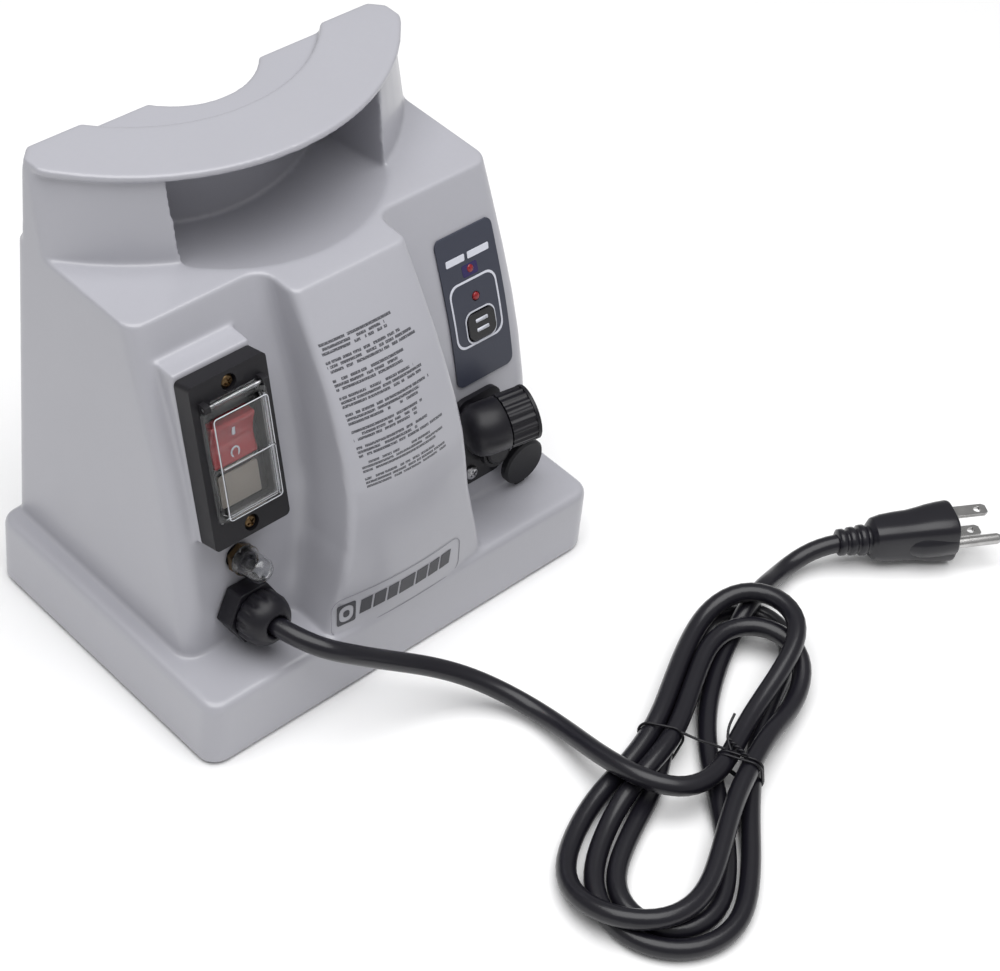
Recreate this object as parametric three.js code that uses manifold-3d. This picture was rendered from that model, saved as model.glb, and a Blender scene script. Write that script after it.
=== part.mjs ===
// Free-standing mains power supply and control unit for a pool appliance.
// Millimetres, +Z up, +X to the right of the front, front towards -Y.
// Origin: centre of the base footprint, on the surface the feet stand on.
import * as THREE from 'three';
import { mergeVertices } from 'three/addons/utils/BufferGeometryUtils.js';
import Module from 'manifold-3d';

const wasm = await Module();
wasm.setup();

// ---- Driving dimensions -------------------------------------------------
const WALL = 3;
const GAP = 0.3;
const BASE = { hx: 102, hy: 69.5, z0: 1, z1: 32.6, r: 8 };
const PLATE = { z0: 3, z1: 6 };
const TOWER = { foot: 92.5, taper: 0.03, back: 68.4, backTaper: 0.006, frontR: 7, backR: 5 };
const SHELF_Z = 169;
const TOP_Z = 206.4;
const LIP_Z = 203;
const HANDLE = { cy: 119, rTop: 109, rUnder: 106, flare: 0.19, halfX: 86.8, corner: 5.2 };
const POCKET = { left: -50.5, right: 52.5, draft: 1.5 };
const POCKET_BACK = { cy: 118, r: 82, top: 203 };
const POCKET_DEEP = { cy: 156, r: 110, top: 198.6 };
const SCOOP = { cy: 58, r: 66, depth: 14 };
const RECESS = { cy: 118, r: 76.5, z: 202.4 };
const GROOVE = { cy: 89.5, r: 34.7 };
// Height against front face position of the left and right zones.
const FRONT = [[10, -44], [33, -42.5], [60, -38], [90, -32], [115, -24.5], [140, -14.5], [169, -1.6]];
// Height against half width, edge position and bulge of the raised centre panel.
const PANEL_HALF = [[6, 42], [33, 41], [50, 36.5], [70, 32], [100, 29.7], [133, 28.5], [169, 28]];
const PANEL_EDGE = [[6, -67.5], [33, -66.5], [50, -66], [70, -64.6], [100, -60], [133, -44.5], [169, -20.5]];
const PANEL_BULGE = [[6, 1.6], [33, 2.5], [100, 3], [133, 2], [169, 0]];
const SWITCH = { x: -64.5, z: 119.7, tilt: 15, w: 35.6, h: 70.4, thick: 9 };
const COVER = { w: 26.6, h: 45, ly: 0.5, top: 14.2, hingeLy: 25.8, hingeLz: 11.3 };
const ROCKER = { ly: 5.2, lz: 1.4, half: 9.4, w: 20.2, lean: 7 };
const STATUS = { ly: -14.6, w: 18, h: 13.6 };
const BREAKER = { x: -64, z: 68.6, tilt: 12 };
const GLAND = { x: -65, z: 47, tilt: 9.7, end: 22 };
const SOCKET = { x: 59.5, z: 64, tilt: 10, w: 24, h: 41 };
const NECK = { x: -5.5, y: 12, out: 13.5 };
const BARREL_AXIS = [0.95, -0.28, 0.14];
const COLLAR = { start: 6.8, length: 12.4, r: 11.4 };
const LUG = { x: 4.8, y: -6.8, r: 6, out: 9.5 };
const SOCKET_SCREWS = { left: [-6, -15], right: [-2.4, 0.9] };
const CAP = { x: 78.5, y: -47.5, hingeZ: 57.8, z: 45.6, r: 10.6, thick: 5 };
const OVERLAY = { x0: 51.3, x1: 81.6, z0: 88.4, z1: 149.2, slant: 62.6 };
const LED_POWER = { x: 66.5, z: 133.8 };
const LED_CYCLE = { x: 66.8, z: 122.6 };
const BUTTON = { x: 67.1, z: 111.2, w: 14.2, h: 11.4 };
const CONTROL_TILT = 20.5;
const FOOT = { x: 86, y: 54, r: 9, top: 2.7 };
const HANK = { x: 48.6, y: -187.4, angle: 28.8, halfL: 103, halfW: 34, h: 16.6 };
const PLUG = { x: 222.9, y: -170.3, z: 12.9, dir: -29.5 };
const CORD_R = 4;

// ---- Materials ----------------------------------------------------------
const paint = (color, roughness, metalness = 0) =>
  new THREE.MeshStandardMaterial({ color, roughness, metalness });
const HOUSING_GREY = paint(0xb9bac2, 0.35);
const BLACK = paint(0x232125, 0.5);
const GLOSS_BLACK = paint(0x19191c, 0.25);
const RUBBER = paint(0x1b1b1d, 0.75);
const RED = paint(0x8f2228, 0.35);
const CLEAR = paint(0xdfe6ea, 0.08);
CLEAR.transparent = true;
CLEAR.opacity = 0.3;
const OVERLAY_GREY = paint(0x42465a, 0.45);
const STEEL = paint(0xb0b0b4, 0.3, 1);
const BRASS = paint(0xb08d4a, 0.35, 1);
const IRON = paint(0x55565a, 0.6, 0.7);
const COPPER_TAPE = paint(0xc9a441, 0.55);
const BOARD_GREEN = paint(0x245c38, 0.5);
const PALE = paint(0xb8b4ac, 0.6);

// ---- Solid helpers ------------------------------------------------------
function solid(geometry) {
  const bare = new THREE.BufferGeometry();
  bare.setAttribute('position', geometry.getAttribute('position').clone());
  if (geometry.index) bare.setIndex(geometry.index.clone());
  const merged = mergeVertices(bare, 1e-4);
  const tris = [];
  const idx = merged.index.array;
  for (let i = 0; i < idx.length; i += 3) {
    const [a, b, c] = [idx[i], idx[i + 1], idx[i + 2]];
    if (a !== b && b !== c && a !== c) tris.push(a, b, c);
  }
  const mesh = new wasm.Mesh({
    numProp: 3,
    vertProperties: new Float32Array(merged.getAttribute('position').array),
    triVerts: new Uint32Array(tris),
  });
  return new wasm.Manifold(mesh);
}

function geometryOf(body) {
  const data = body.getMesh();
  const geometry = new THREE.BufferGeometry();
  geometry.setAttribute('position', new THREE.BufferAttribute(new Float32Array(data.vertProperties), 3));
  geometry.setIndex(new THREE.BufferAttribute(new Uint32Array(data.triVerts), 1));
  geometry.computeVertexNormals();
  return geometry;
}

// Closed skin through rings of equal length, each counter-clockwise seen from the last ring.
function skin(rings) {
  const n = rings[0].length;
  const positions = rings.flat().flatMap((p) => [p[0], p[1], p[2]]);
  const faces = [];
  for (let k = 0; k + 1 < rings.length; k++) {
    for (let i = 0; i < n; i++) {
      const j = (i + 1) % n;
      const [a, b] = [k * n + i, k * n + j];
      faces.push(a, b, b + n, a, b + n, a + n);
    }
  }
  const flat = (ring) => ring.map((p) => new THREE.Vector2(p[0], p[1]));
  const top = (rings.length - 1) * n;
  for (const [a, b, c] of THREE.ShapeUtils.triangulateShape(flat(rings[0]), [])) faces.push(a, c, b);
  for (const [a, b, c] of THREE.ShapeUtils.triangulateShape(flat(rings.at(-1)), [])) {
    faces.push(top + a, top + b, top + c);
  }
  const geometry = new THREE.BufferGeometry();
  geometry.setAttribute('position', new THREE.Float32BufferAttribute(positions, 3));
  geometry.setIndex(faces);
  return solid(geometry);
}

function extrude(points, depth, holes = []) {
  const shape = new THREE.Shape(points.map((p) => new THREE.Vector2(p[0], p[1])));
  shape.holes = holes.map((h) => new THREE.Path(h.map((p) => new THREE.Vector2(p[0], p[1]))));
  return new THREE.ExtrudeGeometry(shape, { depth, bevelEnabled: false });
}

const prism = (points, z0, z1, holes = []) => solid(extrude(points, z1 - z0, holes).translate(0, 0, z0));

// Outline given as (y, z), extruded from x0 to x1.
function prismX(points, x0, x1) {
  const turn = new THREE.Matrix4().set(0, 0, 1, x0, 1, 0, 0, 0, 0, 1, 0, 0, 0, 0, 0, 1);
  return solid(extrude(points, x1 - x0).applyMatrix4(turn));
}

// Profile given as (radius, height), turned about the Z axis; starts and ends on the axis or closes.
function turned(profile, segments = 24) {
  const points = profile.map((p) => new THREE.Vector2(p[0], p[1]));
  return solid(new THREE.LatheGeometry(points, segments).rotateX(Math.PI / 2));
}

const rod = (r, z0, z1, segments = 24) => turned([[0, z0], [r, z0], [r, z1], [0, z1]], segments);
const tube = (r0, r1, z0, z1, segments = 24) =>
  turned([[r0, z0], [r1, z0], [r1, z1], [r0, z1], [r0, z0]], segments);

function boxAt(x, y, z, w, d, h) {
  const [x0, x1, y0, y1] = [x - w / 2, x + w / 2, y - d / 2, y + d / 2];
  return prism([[x0, y0], [x1, y0], [x1, y1], [x0, y1]], z, z + h);
}

function polygon(sides, across, turn = 0) {
  const r = across / 2 / Math.cos(Math.PI / sides);
  return Array.from({ length: sides }, (_, i) => {
    const a = turn + ((i + 0.5) * 2 * Math.PI) / sides;
    return [r * Math.cos(a), r * Math.sin(a)];
  });
}

function circle(r, n = 24) {
  return Array.from({ length: n }, (_, i) => {
    const a = (i * 2 * Math.PI) / n;
    return [r * Math.cos(a), r * Math.sin(a)];
  });
}

function arc(cx, cy, r, from, to, n) {
  return Array.from({ length: n + 1 }, (_, i) => {
    const a = ((from + ((to - from) * i) / n) * Math.PI) / 180;
    return [cx + r * Math.cos(a), cy + r * Math.sin(a)];
  });
}

// Counter-clockwise rounded rectangle; rf rounds the low-y corners, rb the high-y ones.
function rounded(x0, x1, y0, y1, rf, rb = rf, n = 5) {
  return [
    ...arc(x0 + rf, y0 + rf, rf, 180, 270, n),
    ...arc(x1 - rf, y0 + rf, rf, 270, 360, n),
    ...arc(x1 - rb, y1 - rb, rb, 0, 90, n),
    ...arc(x0 + rb, y1 - rb, rb, 90, 180, n),
  ];
}

const centred = (w, h, r, cx = 0, cy = 0, n = 5) =>
  rounded(cx - w / 2, cx + w / 2, cy - h / 2, cy + h / 2, r, r, n);

// Smooth curve through a table of [position, value] rows.
function smooth(table) {
  return (t) => {
    const last = table.length - 1;
    let i = 0;
    while (i < last - 1 && t > table[i + 1][0]) i++;
    const [a, b] = [table[i], table[i + 1]];
    const slope = (p, q) => (q[1] - p[1]) / (q[0] - p[0]);
    const here = slope(a, b);
    const m0 = i > 0 ? (here + slope(table[i - 1], a)) / 2 : here;
    const m1 = i < last - 1 ? (here + slope(b, table[i + 2])) / 2 : here;
    const h = b[0] - a[0];
    const s = (t - a[0]) / h;
    return a[1] * (1 + 2 * s) * (1 - s) ** 2 + m0 * h * s * (1 - s) ** 2
      + b[1] * s * s * (3 - 2 * s) + m1 * h * s * s * (s - 1);
  };
}

const frontY = smooth(FRONT);
const panelHalf = smooth(PANEL_HALF);
const panelEdge = smooth(PANEL_EDGE);
const panelBulge = smooth(PANEL_BULGE);

// Frame on a leaning face: local X right, local Y up the face, local Z outwards.
function faceFrame(x, y, z, tiltDeg) {
  const [s, c] = [Math.sin((tiltDeg * Math.PI) / 180), Math.cos((tiltDeg * Math.PI) / 180)];
  return new THREE.Matrix4().set(1, 0, 0, x, 0, s, -c, y, 0, c, s, z, 0, 0, 0, 1);
}

const place = (body, matrix) => body.transform(matrix.elements);
const switchFrame = faceFrame(SWITCH.x, -27.9, SWITCH.z, SWITCH.tilt);
const breakerFrame = faceFrame(BREAKER.x, frontY(BREAKER.z), BREAKER.z, BREAKER.tilt);
const glandFrame = faceFrame(GLAND.x, frontY(GLAND.z), GLAND.z, GLAND.tilt);
const socketFrame = faceFrame(SOCKET.x, frontY(SOCKET.z), SOCKET.z, SOCKET.tilt);
const controlFrame = (f) => faceFrame(f.x, frontY(f.z), f.z, CONTROL_TILT);

// Frame of the outlet barrel: local Z along it, origin in the elbow.
function makeBarrelFrame() {
  const axis = new THREE.Vector3(...BARREL_AXIS).normalize();
  const side = new THREE.Vector3().crossVectors(new THREE.Vector3(0, 0, 1), axis).normalize();
  const elbow = new THREE.Vector3(NECK.x, NECK.y, NECK.out).applyMatrix4(socketFrame);
  const up = new THREE.Vector3().crossVectors(axis, side);
  return new THREE.Matrix4().makeBasis(side, up, axis).setPosition(elbow);
}

const barrelFrame = makeBarrelFrame();
const alongX = (x, y, z) => new THREE.Matrix4().set(0, 0, 1, x, 1, 0, 0, y, 0, 1, 0, z, 0, 0, 0, 1);

// ---- Moulded housing ----------------------------------------------------
const at = (points, z) => points.map((p) => [p[0], p[1], z]);

function baseBlock(t, z0, z1) {
  const ring = (z, inset) => {
    const i = inset + t;
    return at(rounded(-BASE.hx + i, BASE.hx - i, -BASE.hy + i, BASE.hy - i, BASE.r - Math.min(i, 5)), z);
  };
  return skin([ring(z0, 0), ring(z1 - 3, 0.4), ring(z1 - 0.9, 1.2), ring(z1, 3)]);
}

function towerBlock(t, levels) {
  return skin(levels.map((z) => {
    const hw = TOWER.foot - TOWER.taper * (z - BASE.z1) - t;
    const back = TOWER.back - TOWER.backTaper * (z - BASE.z1) - t;
    const y = frontY(Math.min(z, SHELF_Z)) + t * 1.06;
    return at(rounded(-hw, hw, y, back, TOWER.frontR - t / 2, TOWER.backR - t / 2), z);
  }));
}

function panelBlock(t, levels) {
  const [corner, fillet, n] = [4, 7, 6];
  return skin(levels.map((z) => {
    const [w, edge, bulge] = [panelHalf(z) - t, panelEdge(z) + t * 1.2, panelBulge(z)];
    const face = frontY(z) + t;
    const front = Array.from({ length: n + 1 }, (_, i) => {
      const x = (w - corner) * ((2 * i) / n - 1);
      return [x, edge - bulge * (1 - (x / (w - corner)) ** 2)];
    });
    const ring = [
      ...arc(-w + corner, edge + corner, corner, 180, 270, 4).slice(0, -1),
      ...front,
      ...arc(w - corner, edge + corner, corner, 270, 360, 4).slice(1),
      ...arc(w + fillet, face - fillet, fillet, 180, 90, 4),
      [w + fillet, 14],
      [-w - fillet, 14],
      ...arc(-w - fillet, face - fillet, fillet, 90, 0, 4),
    ];
    return at(ring, z);
  }));
}

function handleRing(z, r, hw, back, c = HANDLE.corner) {
  const [n, cut] = [20, 2.5];
  const x = (i) => (hw - cut) * ((2 * i) / n - 1);
  const onArc = (v) => HANDLE.cy - Math.sqrt(r * r - v * v);
  const front = Array.from({ length: n + 1 }, (_, i) => [x(i), onArc(x(i))]);
  const sideY = onArc(hw - cut) + cut + 1;
  const rear = [[hw, back - c], [hw - c, back], [-hw + c, back], [-hw, back - c]];
  return at([...front, [hw, sideY], ...rear, [-hw, sideY]], z);
}

function handleBlock(t, z0, z1) {
  const ring = (z) => handleRing(z, HANDLE.rUnder + (LIP_Z - z) * HANDLE.flare - t,
    TOWER.foot - TOWER.taper * (z - BASE.z1) - t, TOWER.back - TOWER.backTaper * (z - BASE.z1) - t,
    HANDLE.corner - 0.4 * t);
  return skin([ring(z0), ring((z0 + z1) / 2), ring(z1)]);
}

// Hand pocket under the handle, with a dished floor; t grows it for the wall around it.
function pocketBlock(t) {
  const plan = ({ cy, r }, narrow) => {
    const [x0, x1] = [POCKET.left - t + narrow, POCKET.right + t - narrow];
    const angle = (x) => 270 + (Math.asin(x / (r - t)) * 180) / Math.PI;
    return [[x0, -60], [x1, -60], ...arc(0, cy, r - t, angle(x1), angle(x0), 16)];
  };
  const room = (wall) =>
    skin([at(plan(wall, POCKET.draft), SHELF_Z - t), at(plan(wall, 0), wall.top + t)]);
  const [d, rim, steps] = [SCOOP.depth, SCOOP.r, 8];
  const big = (rim * rim + d * d) / (2 * d);
  const bowl = Array.from({ length: steps + 1 }, (_, i) => {
    const x = (rim * i) / steps;
    return [x, big - d - Math.sqrt(big * big - x * x) - t];
  });
  const dip = turned([...bowl, [rim, 8], [0, 8]], 40).translate([0, SCOOP.cy, SHELF_Z]);
  const floor = prism(plan(POCKET_DEEP, POCKET.draft), SHELF_Z - d - t - 1, SHELF_Z + 4);
  return room(POCKET_BACK).add(room(POCKET_DEEP)).add(dip.intersect(floor));
}

const recessBlock = (t) => rod(RECESS.r + t, RECESS.z - t, TOP_Z + 5, 64).translate([0, RECESS.cy, 0]);
const grooveBlock = (t) => rod(GROOVE.r + t, BASE.z1 + 0.4 - t, TOP_Z + 5, 48).translate([0, GROOVE.cy, 0]);

// Wedge-shaped pad that carries the switch frame.
function switchPad() {
  const lean = Math.tan((SWITCH.tilt * Math.PI) / 180);
  const y = (z) => -27.9 + (z - SWITCH.z) * lean;
  return prismX([[6, 155.4], [y(155.4), 155.4], [y(85.8), 85.8], [-20, 82]],
    SWITCH.x - SWITCH.w / 2, SWITCH.x + SWITCH.w / 2);
}

const buttonHole = (z0, z1) => prism(centred(BUTTON.w + 0.8, BUTTON.h + 0.8, 3.2), z0, z1);

const footSpots = [
  [-1, -1, 'front_left'], [1, -1, 'front_right'], [-1, 1, 'rear_left'], [1, 1, 'rear_right'],
];

function housing() {
  const outer = [22, 33, 55, 78, 98, 116, 134, 152, SHELF_Z];
  const inner = [16, 33, 70, 110, 140, SHELF_Z - WALL];
  const hx = HANDLE.halfX;
  const backTop = TOWER.back - TOWER.backTaper * (TOP_Z - BASE.z1);
  const plate = (z, hw) => handleRing(z, HANDLE.rTop, hw, backTop);
  let body = baseBlock(0, BASE.z0, BASE.z1)
    .add(towerBlock(0, outer))
    .add(panelBlock(0, [10, 33, 44, 56, 70, 85, 98, 110, 122, 136, 152, SHELF_Z]))
    .add(handleBlock(0, 158, LIP_Z))
    .add(skin([plate(LIP_Z, hx + 0.1), plate(TOP_Z, hx)]))
    .subtract(pocketBlock(0))
    .subtract(recessBlock(0))
    .subtract(grooveBlock(0))
    .add(switchPad());
  const hollow = baseBlock(WALL, -1, BASE.z1 - WALL)
    .add(towerBlock(WALL, inner))
    .add(panelBlock(WALL, [12, 33, 60, 85, 110, 136, SHELF_Z - WALL]))
    .add(handleBlock(WALL, 150, TOP_Z - WALL))
    .subtract(pocketBlock(WALL))
    .subtract(recessBlock(WALL))
    .subtract(grooveBlock(WALL));
  body = body.subtract(hollow);
  for (const [sx, sy] of footSpots) {
    const boss = rod(4.5, 6.4, BASE.z1 - 1.5, 16).translate([sx * FOOT.x, sy * FOOT.y, 0]);
    const pilot = rod(1.8, 6, 24, 12).translate([sx * FOOT.x, sy * FOOT.y, 0]);
    body = body.add(boss).subtract(pilot);
  }
  return body
    .subtract(place(prism(centred(26, 47.2, 1.5, 0, 0.5, 3), -30, 2), switchFrame))
    .subtract(place(rod(5, -10, 6, 20), breakerFrame))
    .subtract(place(rod(8.4, -12, 6, 24), glandFrame))
    .subtract(place(rod(5.9, -10, 5, 24).translate([NECK.x, NECK.y, 0]), socketFrame))
    .subtract(place(rod(1.7, -9, 5, 12).translate([...SOCKET_SCREWS.left, 0]), socketFrame))
    .subtract(place(rod(1.7, -9, 5, 12).translate([...SOCKET_SCREWS.right, 0]), socketFrame))
    .subtract(place(rod(2.1, -9, 5, 16), controlFrame(LED_POWER)))
    .subtract(place(rod(2.1, -9, 5, 16), controlFrame(LED_CYCLE)))
    .subtract(place(buttonHole(-9, 5), controlFrame(BUTTON)))
    .subtract(place(rod(1.6, -12, 1, 12).translate([0, 30.3, 0]), switchFrame))
    .subtract(place(rod(1.6, -12, 1, 12).translate([0, -30.3, 0]), switchFrame));
}

// ---- Underside ----------------------------------------------------------
function bottomPlate() {
  const i = WALL + GAP;
  const hole = ([sx, sy]) => circle(2.1, 12).map((p) => [p[0] + sx * FOOT.x, p[1] + sy * FOOT.y]);
  const outline = rounded(-BASE.hx + i, BASE.hx - i, -BASE.hy + i, BASE.hy - i, 5);
  return prism(outline, PLATE.z0, PLATE.z1, footSpots.map(hole));
}

const foot = () =>
  turned([[4.3, 0], [FOOT.r - 0.8, 0], [FOOT.r, 0.8], [FOOT.r, FOOT.top], [4.3, FOOT.top], [4.3, 0]], 28);
const baseScrew = () => turned([[0, 0.9], [3.4, 0.9], [3.4, 2.7], [1.5, 2.7], [1.5, 20], [0, 21.5]], 16);

// ---- Switch with clear cover --------------------------------------------
function switchBezel() {
  const { w, h, thick } = SWITCH;
  let body = prism(centred(w, h, 2, 0, 0, 3), GAP, thick)
    .subtract(prism(centred(26.2, 47.6, 1.5, 0, 0.5, 3), -1, thick + 1));
  for (const ly of [30.3, -30.3]) {
    body = body.subtract(rod(1.8, -1, 12, 14).translate([0, ly, 0]))
      .subtract(rod(3.4, thick - 2.4, 12, 18).translate([0, ly, 0]));
  }
  for (const side of [-1, 1]) {
    const outline = [[24.1, 7.5], [27.7, 7.5], [27.7, 11.6], [27, 13.1], [24.8, 13.1], [24.1, 11.8]];
    const ear = prismX(outline, -1.3, 1.3).translate([side * 13.4, 0, 0]);
    body = body.add(ear.intersect(boxAt(0, 26, 5, 40, 20, 20)));
  }
  return body.subtract(place(rod(0.95, -20, 20, 12), alongX(0, COVER.hingeLy, COVER.hingeLz)))
    .transform(switchFrame.elements);
}

function switchCover() {
  const { w, h, ly, top, hingeLy, hingeLz } = COVER;
  const low = SWITCH.thick;
  const frame = (shrink, r, z) => at(centred(w - shrink, h - shrink, r, 0, ly - 0.6, 3), z);
  const flange = prism(centred(w + 3, h + 2.8, 1.5, 0, ly - 0.6, 3), low + GAP, low + 1.5);
  const rise = skin([frame(0, 1.5, low + GAP), frame(1.4, 1.5, top)]);
  const room = skin([frame(2.4, 1, low), frame(3.8, 1, top - 1.2)]);
  const [y, z] = [ly - 0.8, top - 0.6];
  const crest = [[y, z], [y + 1.6, z], [y + 1.2, z + 1.2], [y + 0.4, z + 1.2]];
  const ridge = prismX(crest, -w / 2 + 1.2, w / 2 - 1.2);
  const knuckle = place(rod(1.7, -10, 10, 16), alongX(0, hingeLy, hingeLz));
  const web = prismX([[23.2, low + GAP], [25.8, low + 0.75], [25.8, 11.8], [23.2, 10.5]], -10, 10);
  const bore = place(rod(0.95, -20, 20, 12), alongX(0, hingeLy, hingeLz));
  const body = flange.add(rise).add(ridge).add(knuckle).add(web).subtract(room).subtract(bore);
  return place(body, switchFrame);
}

const coverPin = () =>
  place(place(rod(0.7, -14.5, 14.5, 12), alongX(0, COVER.hingeLy, COVER.hingeLz)), switchFrame);

function switchBody() {
  const face = prism(centred(25.4, 46.6, 1.2, 0, 0.5, 3), -16, 4.5);
  const well = boxAt(0, ROCKER.ly, -4.6, ROCKER.w + 1, 20.8, 20);
  let body = face.subtract(well);
  for (const x of [-7, 0, 7]) body = body.add(boxAt(x, 2, -23, 0.8, 6.3, 7.5));
  return place(body, switchFrame);
}

function rocker() {
  const { half, w, lean, ly, lz } = ROCKER;
  const crest = [[half, 5.1], [half - 0.8, 5.6], [0, 3.9], [-half + 0.8, 5.6], [-half, 5.1]];
  const a = (lean * Math.PI) / 180;
  const [c, s] = [Math.cos(a), Math.sin(a)];
  const turn = ([y, z]) => [ly + y * c - z * s, lz + y * s + z * c];
  const leaned = [[-half, -3.2], [half, -3.2], ...crest].map(turn);
  return place(prismX(leaned, -w / 2, w / 2), switchFrame);
}

const statusPlate = () =>
  place(prism(centred(STATUS.w, STATUS.h, 0.8, 0, STATUS.ly, 3), 4.8, 5.6), switchFrame);

function bezelScrew(ly) {
  const z = SWITCH.thick - 2.1;
  const screw = turned([[0, -9], [1.3, -8], [1.3, z], [3, z], [2.7, z + 1.2], [0, z + 1.7]], 18);
  return place(screw.translate([0, ly, 0]), switchFrame);
}

// ---- Circuit breaker with clear boot ------------------------------------
function breakerBody() {
  const profile = [[0, -26], [6.4, -26], [6.4, -4.4], [4.5, -4.4], [4.5, 6.2], [3, 6.2], [3, -2], [0, -2]];
  return place(turned(profile, 24), breakerFrame);
}

const breakerNut = () => place(prism(polygon(6, 11), GAP + 0.6, 3.2, [circle(4.9, 18)]), breakerFrame);

function breakerButton() {
  return place(turned([[0, -1.4], [2.5, -1.4], [2.5, 8.2], [2, 8.9], [0, 8.9]], 20), breakerFrame);
}

function breakerBoot() {
  const tip = [[5.5, 13.5], [4.6, 16], [2.2, 17], [0, 17.2]];
  const outside = [[5.9, 3.6], [6.2, 4.2], [6.2, 5.4], [5.7, 6.2], ...tip];
  const inside = [[0, 16.1], [2, 15.9], [3.6, 15.1], [4.4, 13.2], [4.8, 6], [4.8, 3.6], [5.9, 3.6]];
  return place(turned([...inside, ...outside.slice(1)], 24), breakerFrame);
}

// ---- Cable gland --------------------------------------------------------
function glandBody() {
  const hex = prism(polygon(6, 22.4, Math.PI / 6), 0.7, 9.4);
  const body = hex.add(rod(8, -9, 1, 24)).add(rod(8.6, 9, 12.6, 24)).subtract(rod(4.7, -20, 30, 20));
  return place(body, glandFrame);
}

function glandNut() {
  const outside = [[10.6, 9.8], [11, 10.4], [11, 15], [10.4, 17.4], [8.8, 20], [7, 21.5], [6.2, 22], [0, 22]];
  const dome = turned([[0, 9.8], ...outside], 28);
  const inside = [[0, 9], [8.9, 9], [8.9, 12.9], [6.9, 13.8], [6.9, 18.2], [4.8, 19.6], [4.8, 24], [0, 24]];
  return place(dome.subtract(turned(inside, 24)), glandFrame);
}

const glandSeal = () => place(tube(4.7, 6.6, 13, 17.9, 20), glandFrame);
const glandLocknut = () => place(prism(polygon(6, 19.5), -6.9, -3.7, [circle(8.35, 24)]), glandFrame);

// ---- Control panel ------------------------------------------------------
function controlOverlay() {
  const { x0, x1, z0, z1 } = OVERLAY;
  const n = 8;
  const z = (i) => z0 + ((z1 - z0) * i) / n;
  const line = (off) => Array.from({ length: n + 1 }, (_, i) => [frontY(z(i)) - off, z(i)]);
  const sheet = prismX([...line(GAP), ...line(GAP + 0.7).reverse()].reverse(), x0, x1);
  const middle = faceFrame((x0 + x1) / 2, (frontY(z0) + frontY(z1)) / 2, (z0 + z1) / 2, CONTROL_TILT);
  const mask = place(prism(centred(x1 - x0, OVERLAY.slant + 2.2, 3.5), -8, 8), middle);
  return sheet.intersect(mask)
    .subtract(place(rod(2.1, -5, 5, 16), controlFrame(LED_POWER)))
    .subtract(place(rod(2.1, -5, 5, 16), controlFrame(LED_CYCLE)))
    .subtract(place(buttonHole(-5, 5), controlFrame(BUTTON)));
}

const lens = (spot) =>
  place(turned([[0, -8], [1.7, -8], [1.7, 1.1], [1.2, 1.5], [0, 1.6]], 16), controlFrame(spot));
const cycleButton = () => place(prism(centred(BUTTON.w, BUTTON.h, 3), -6.5, 1.9), controlFrame(BUTTON));

function controlBoard() {
  const relay = boxAt(6, -20, -20, 9, 9, 7.6);
  const chip = boxAt(-6, 20, -17, 10, 8, 4.6);
  const can = rod(3, -18, -12, 14).translate([7, 17, 0]);
  const board = prism(centred(27, 56, 1), -12.6, -11).add(chip).add(relay).add(can);
  return place(board, controlFrame({ x: 67, z: 118 }));
}

// ---- Low-voltage outlet -------------------------------------------------
function socketBody() {
  const local = (body) => place(body, socketFrame);
  const flange = local(prism(centred(SOCKET.w, SOCKET.h, 5), 0.6, 3.1));
  const neck = local(rod(6.4, 2, NECK.out, 24).translate([NECK.x, NECK.y, 0]));
  const spigot = local(rod(5.5, -8, 4, 24).translate([NECK.x, NECK.y, 0]));
  const { r, out } = LUG;
  const lug = local(turned([[0, 2], [r, 2], [r, out - 0.8], [r - 0.8, out], [0, out]], 24));
  const round = [[0, -6.4], [3.6, -5.6], [6.2, -3.6], [7.4, 0], [7.4, 4.8], [9.2, 5.6]];
  const barrel = place(turned([...round, [9.2, 18.6], [0, 18.6]], 28), barrelFrame);
  const mouth = place(rod(7.6, 10, 30, 28), barrelFrame);
  let body = flange.add(neck).add(spigot).add(barrel).subtract(mouth);
  body = body.add(lug.translate(lugOffset()));
  for (const [x, y] of Object.values(SOCKET_SCREWS)) {
    body = body.subtract(local(rod(1.7, -2, 9, 12).translate([x, y, 0])));
  }
  return body;
}

// Step in the object frame from the flange centre to the strap lug.
function lugOffset() {
  const centre = new THREE.Vector3(0, 0, 0).applyMatrix4(socketFrame);
  return new THREE.Vector3(LUG.x, LUG.y, 0).applyMatrix4(socketFrame).sub(centre).toArray();
}

function socketCollar() {
  const { start, length, r } = COLLAR;
  const n = 20;
  const ribs = Array.from({ length: n * 4 }, (_, i) => {
    const a = (i * Math.PI) / (2 * n);
    const k = i % 4 < 2 ? r : r - 0.6;
    return [k * Math.cos(a), k * Math.sin(a)];
  });
  const sleeve = prism(ribs, start, start + length - 1.3);
  const rim = rod(r + 0.2, start + length - 1.5, start + length, 48);
  return place(sleeve.add(rim).subtract(rod(9.5, 0, 40, 28)), barrelFrame);
}

function socketPin(x, y) {
  const pin = turned([[0, 10.3], [1.1, 10.3], [1.1, 13.6], [0.5, 14.4], [0, 14.4]], 14);
  return place(pin.translate([x, y, 0]), barrelFrame);
}

function socketScrew([x, y]) {
  const screw = turned([[0, -6], [1.4, -5.4], [1.4, 3.4], [3, 3.4], [2.8, 4.5], [0, 5.2]], 18);
  return place(screw.translate([x, y, 0]), socketFrame);
}

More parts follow.
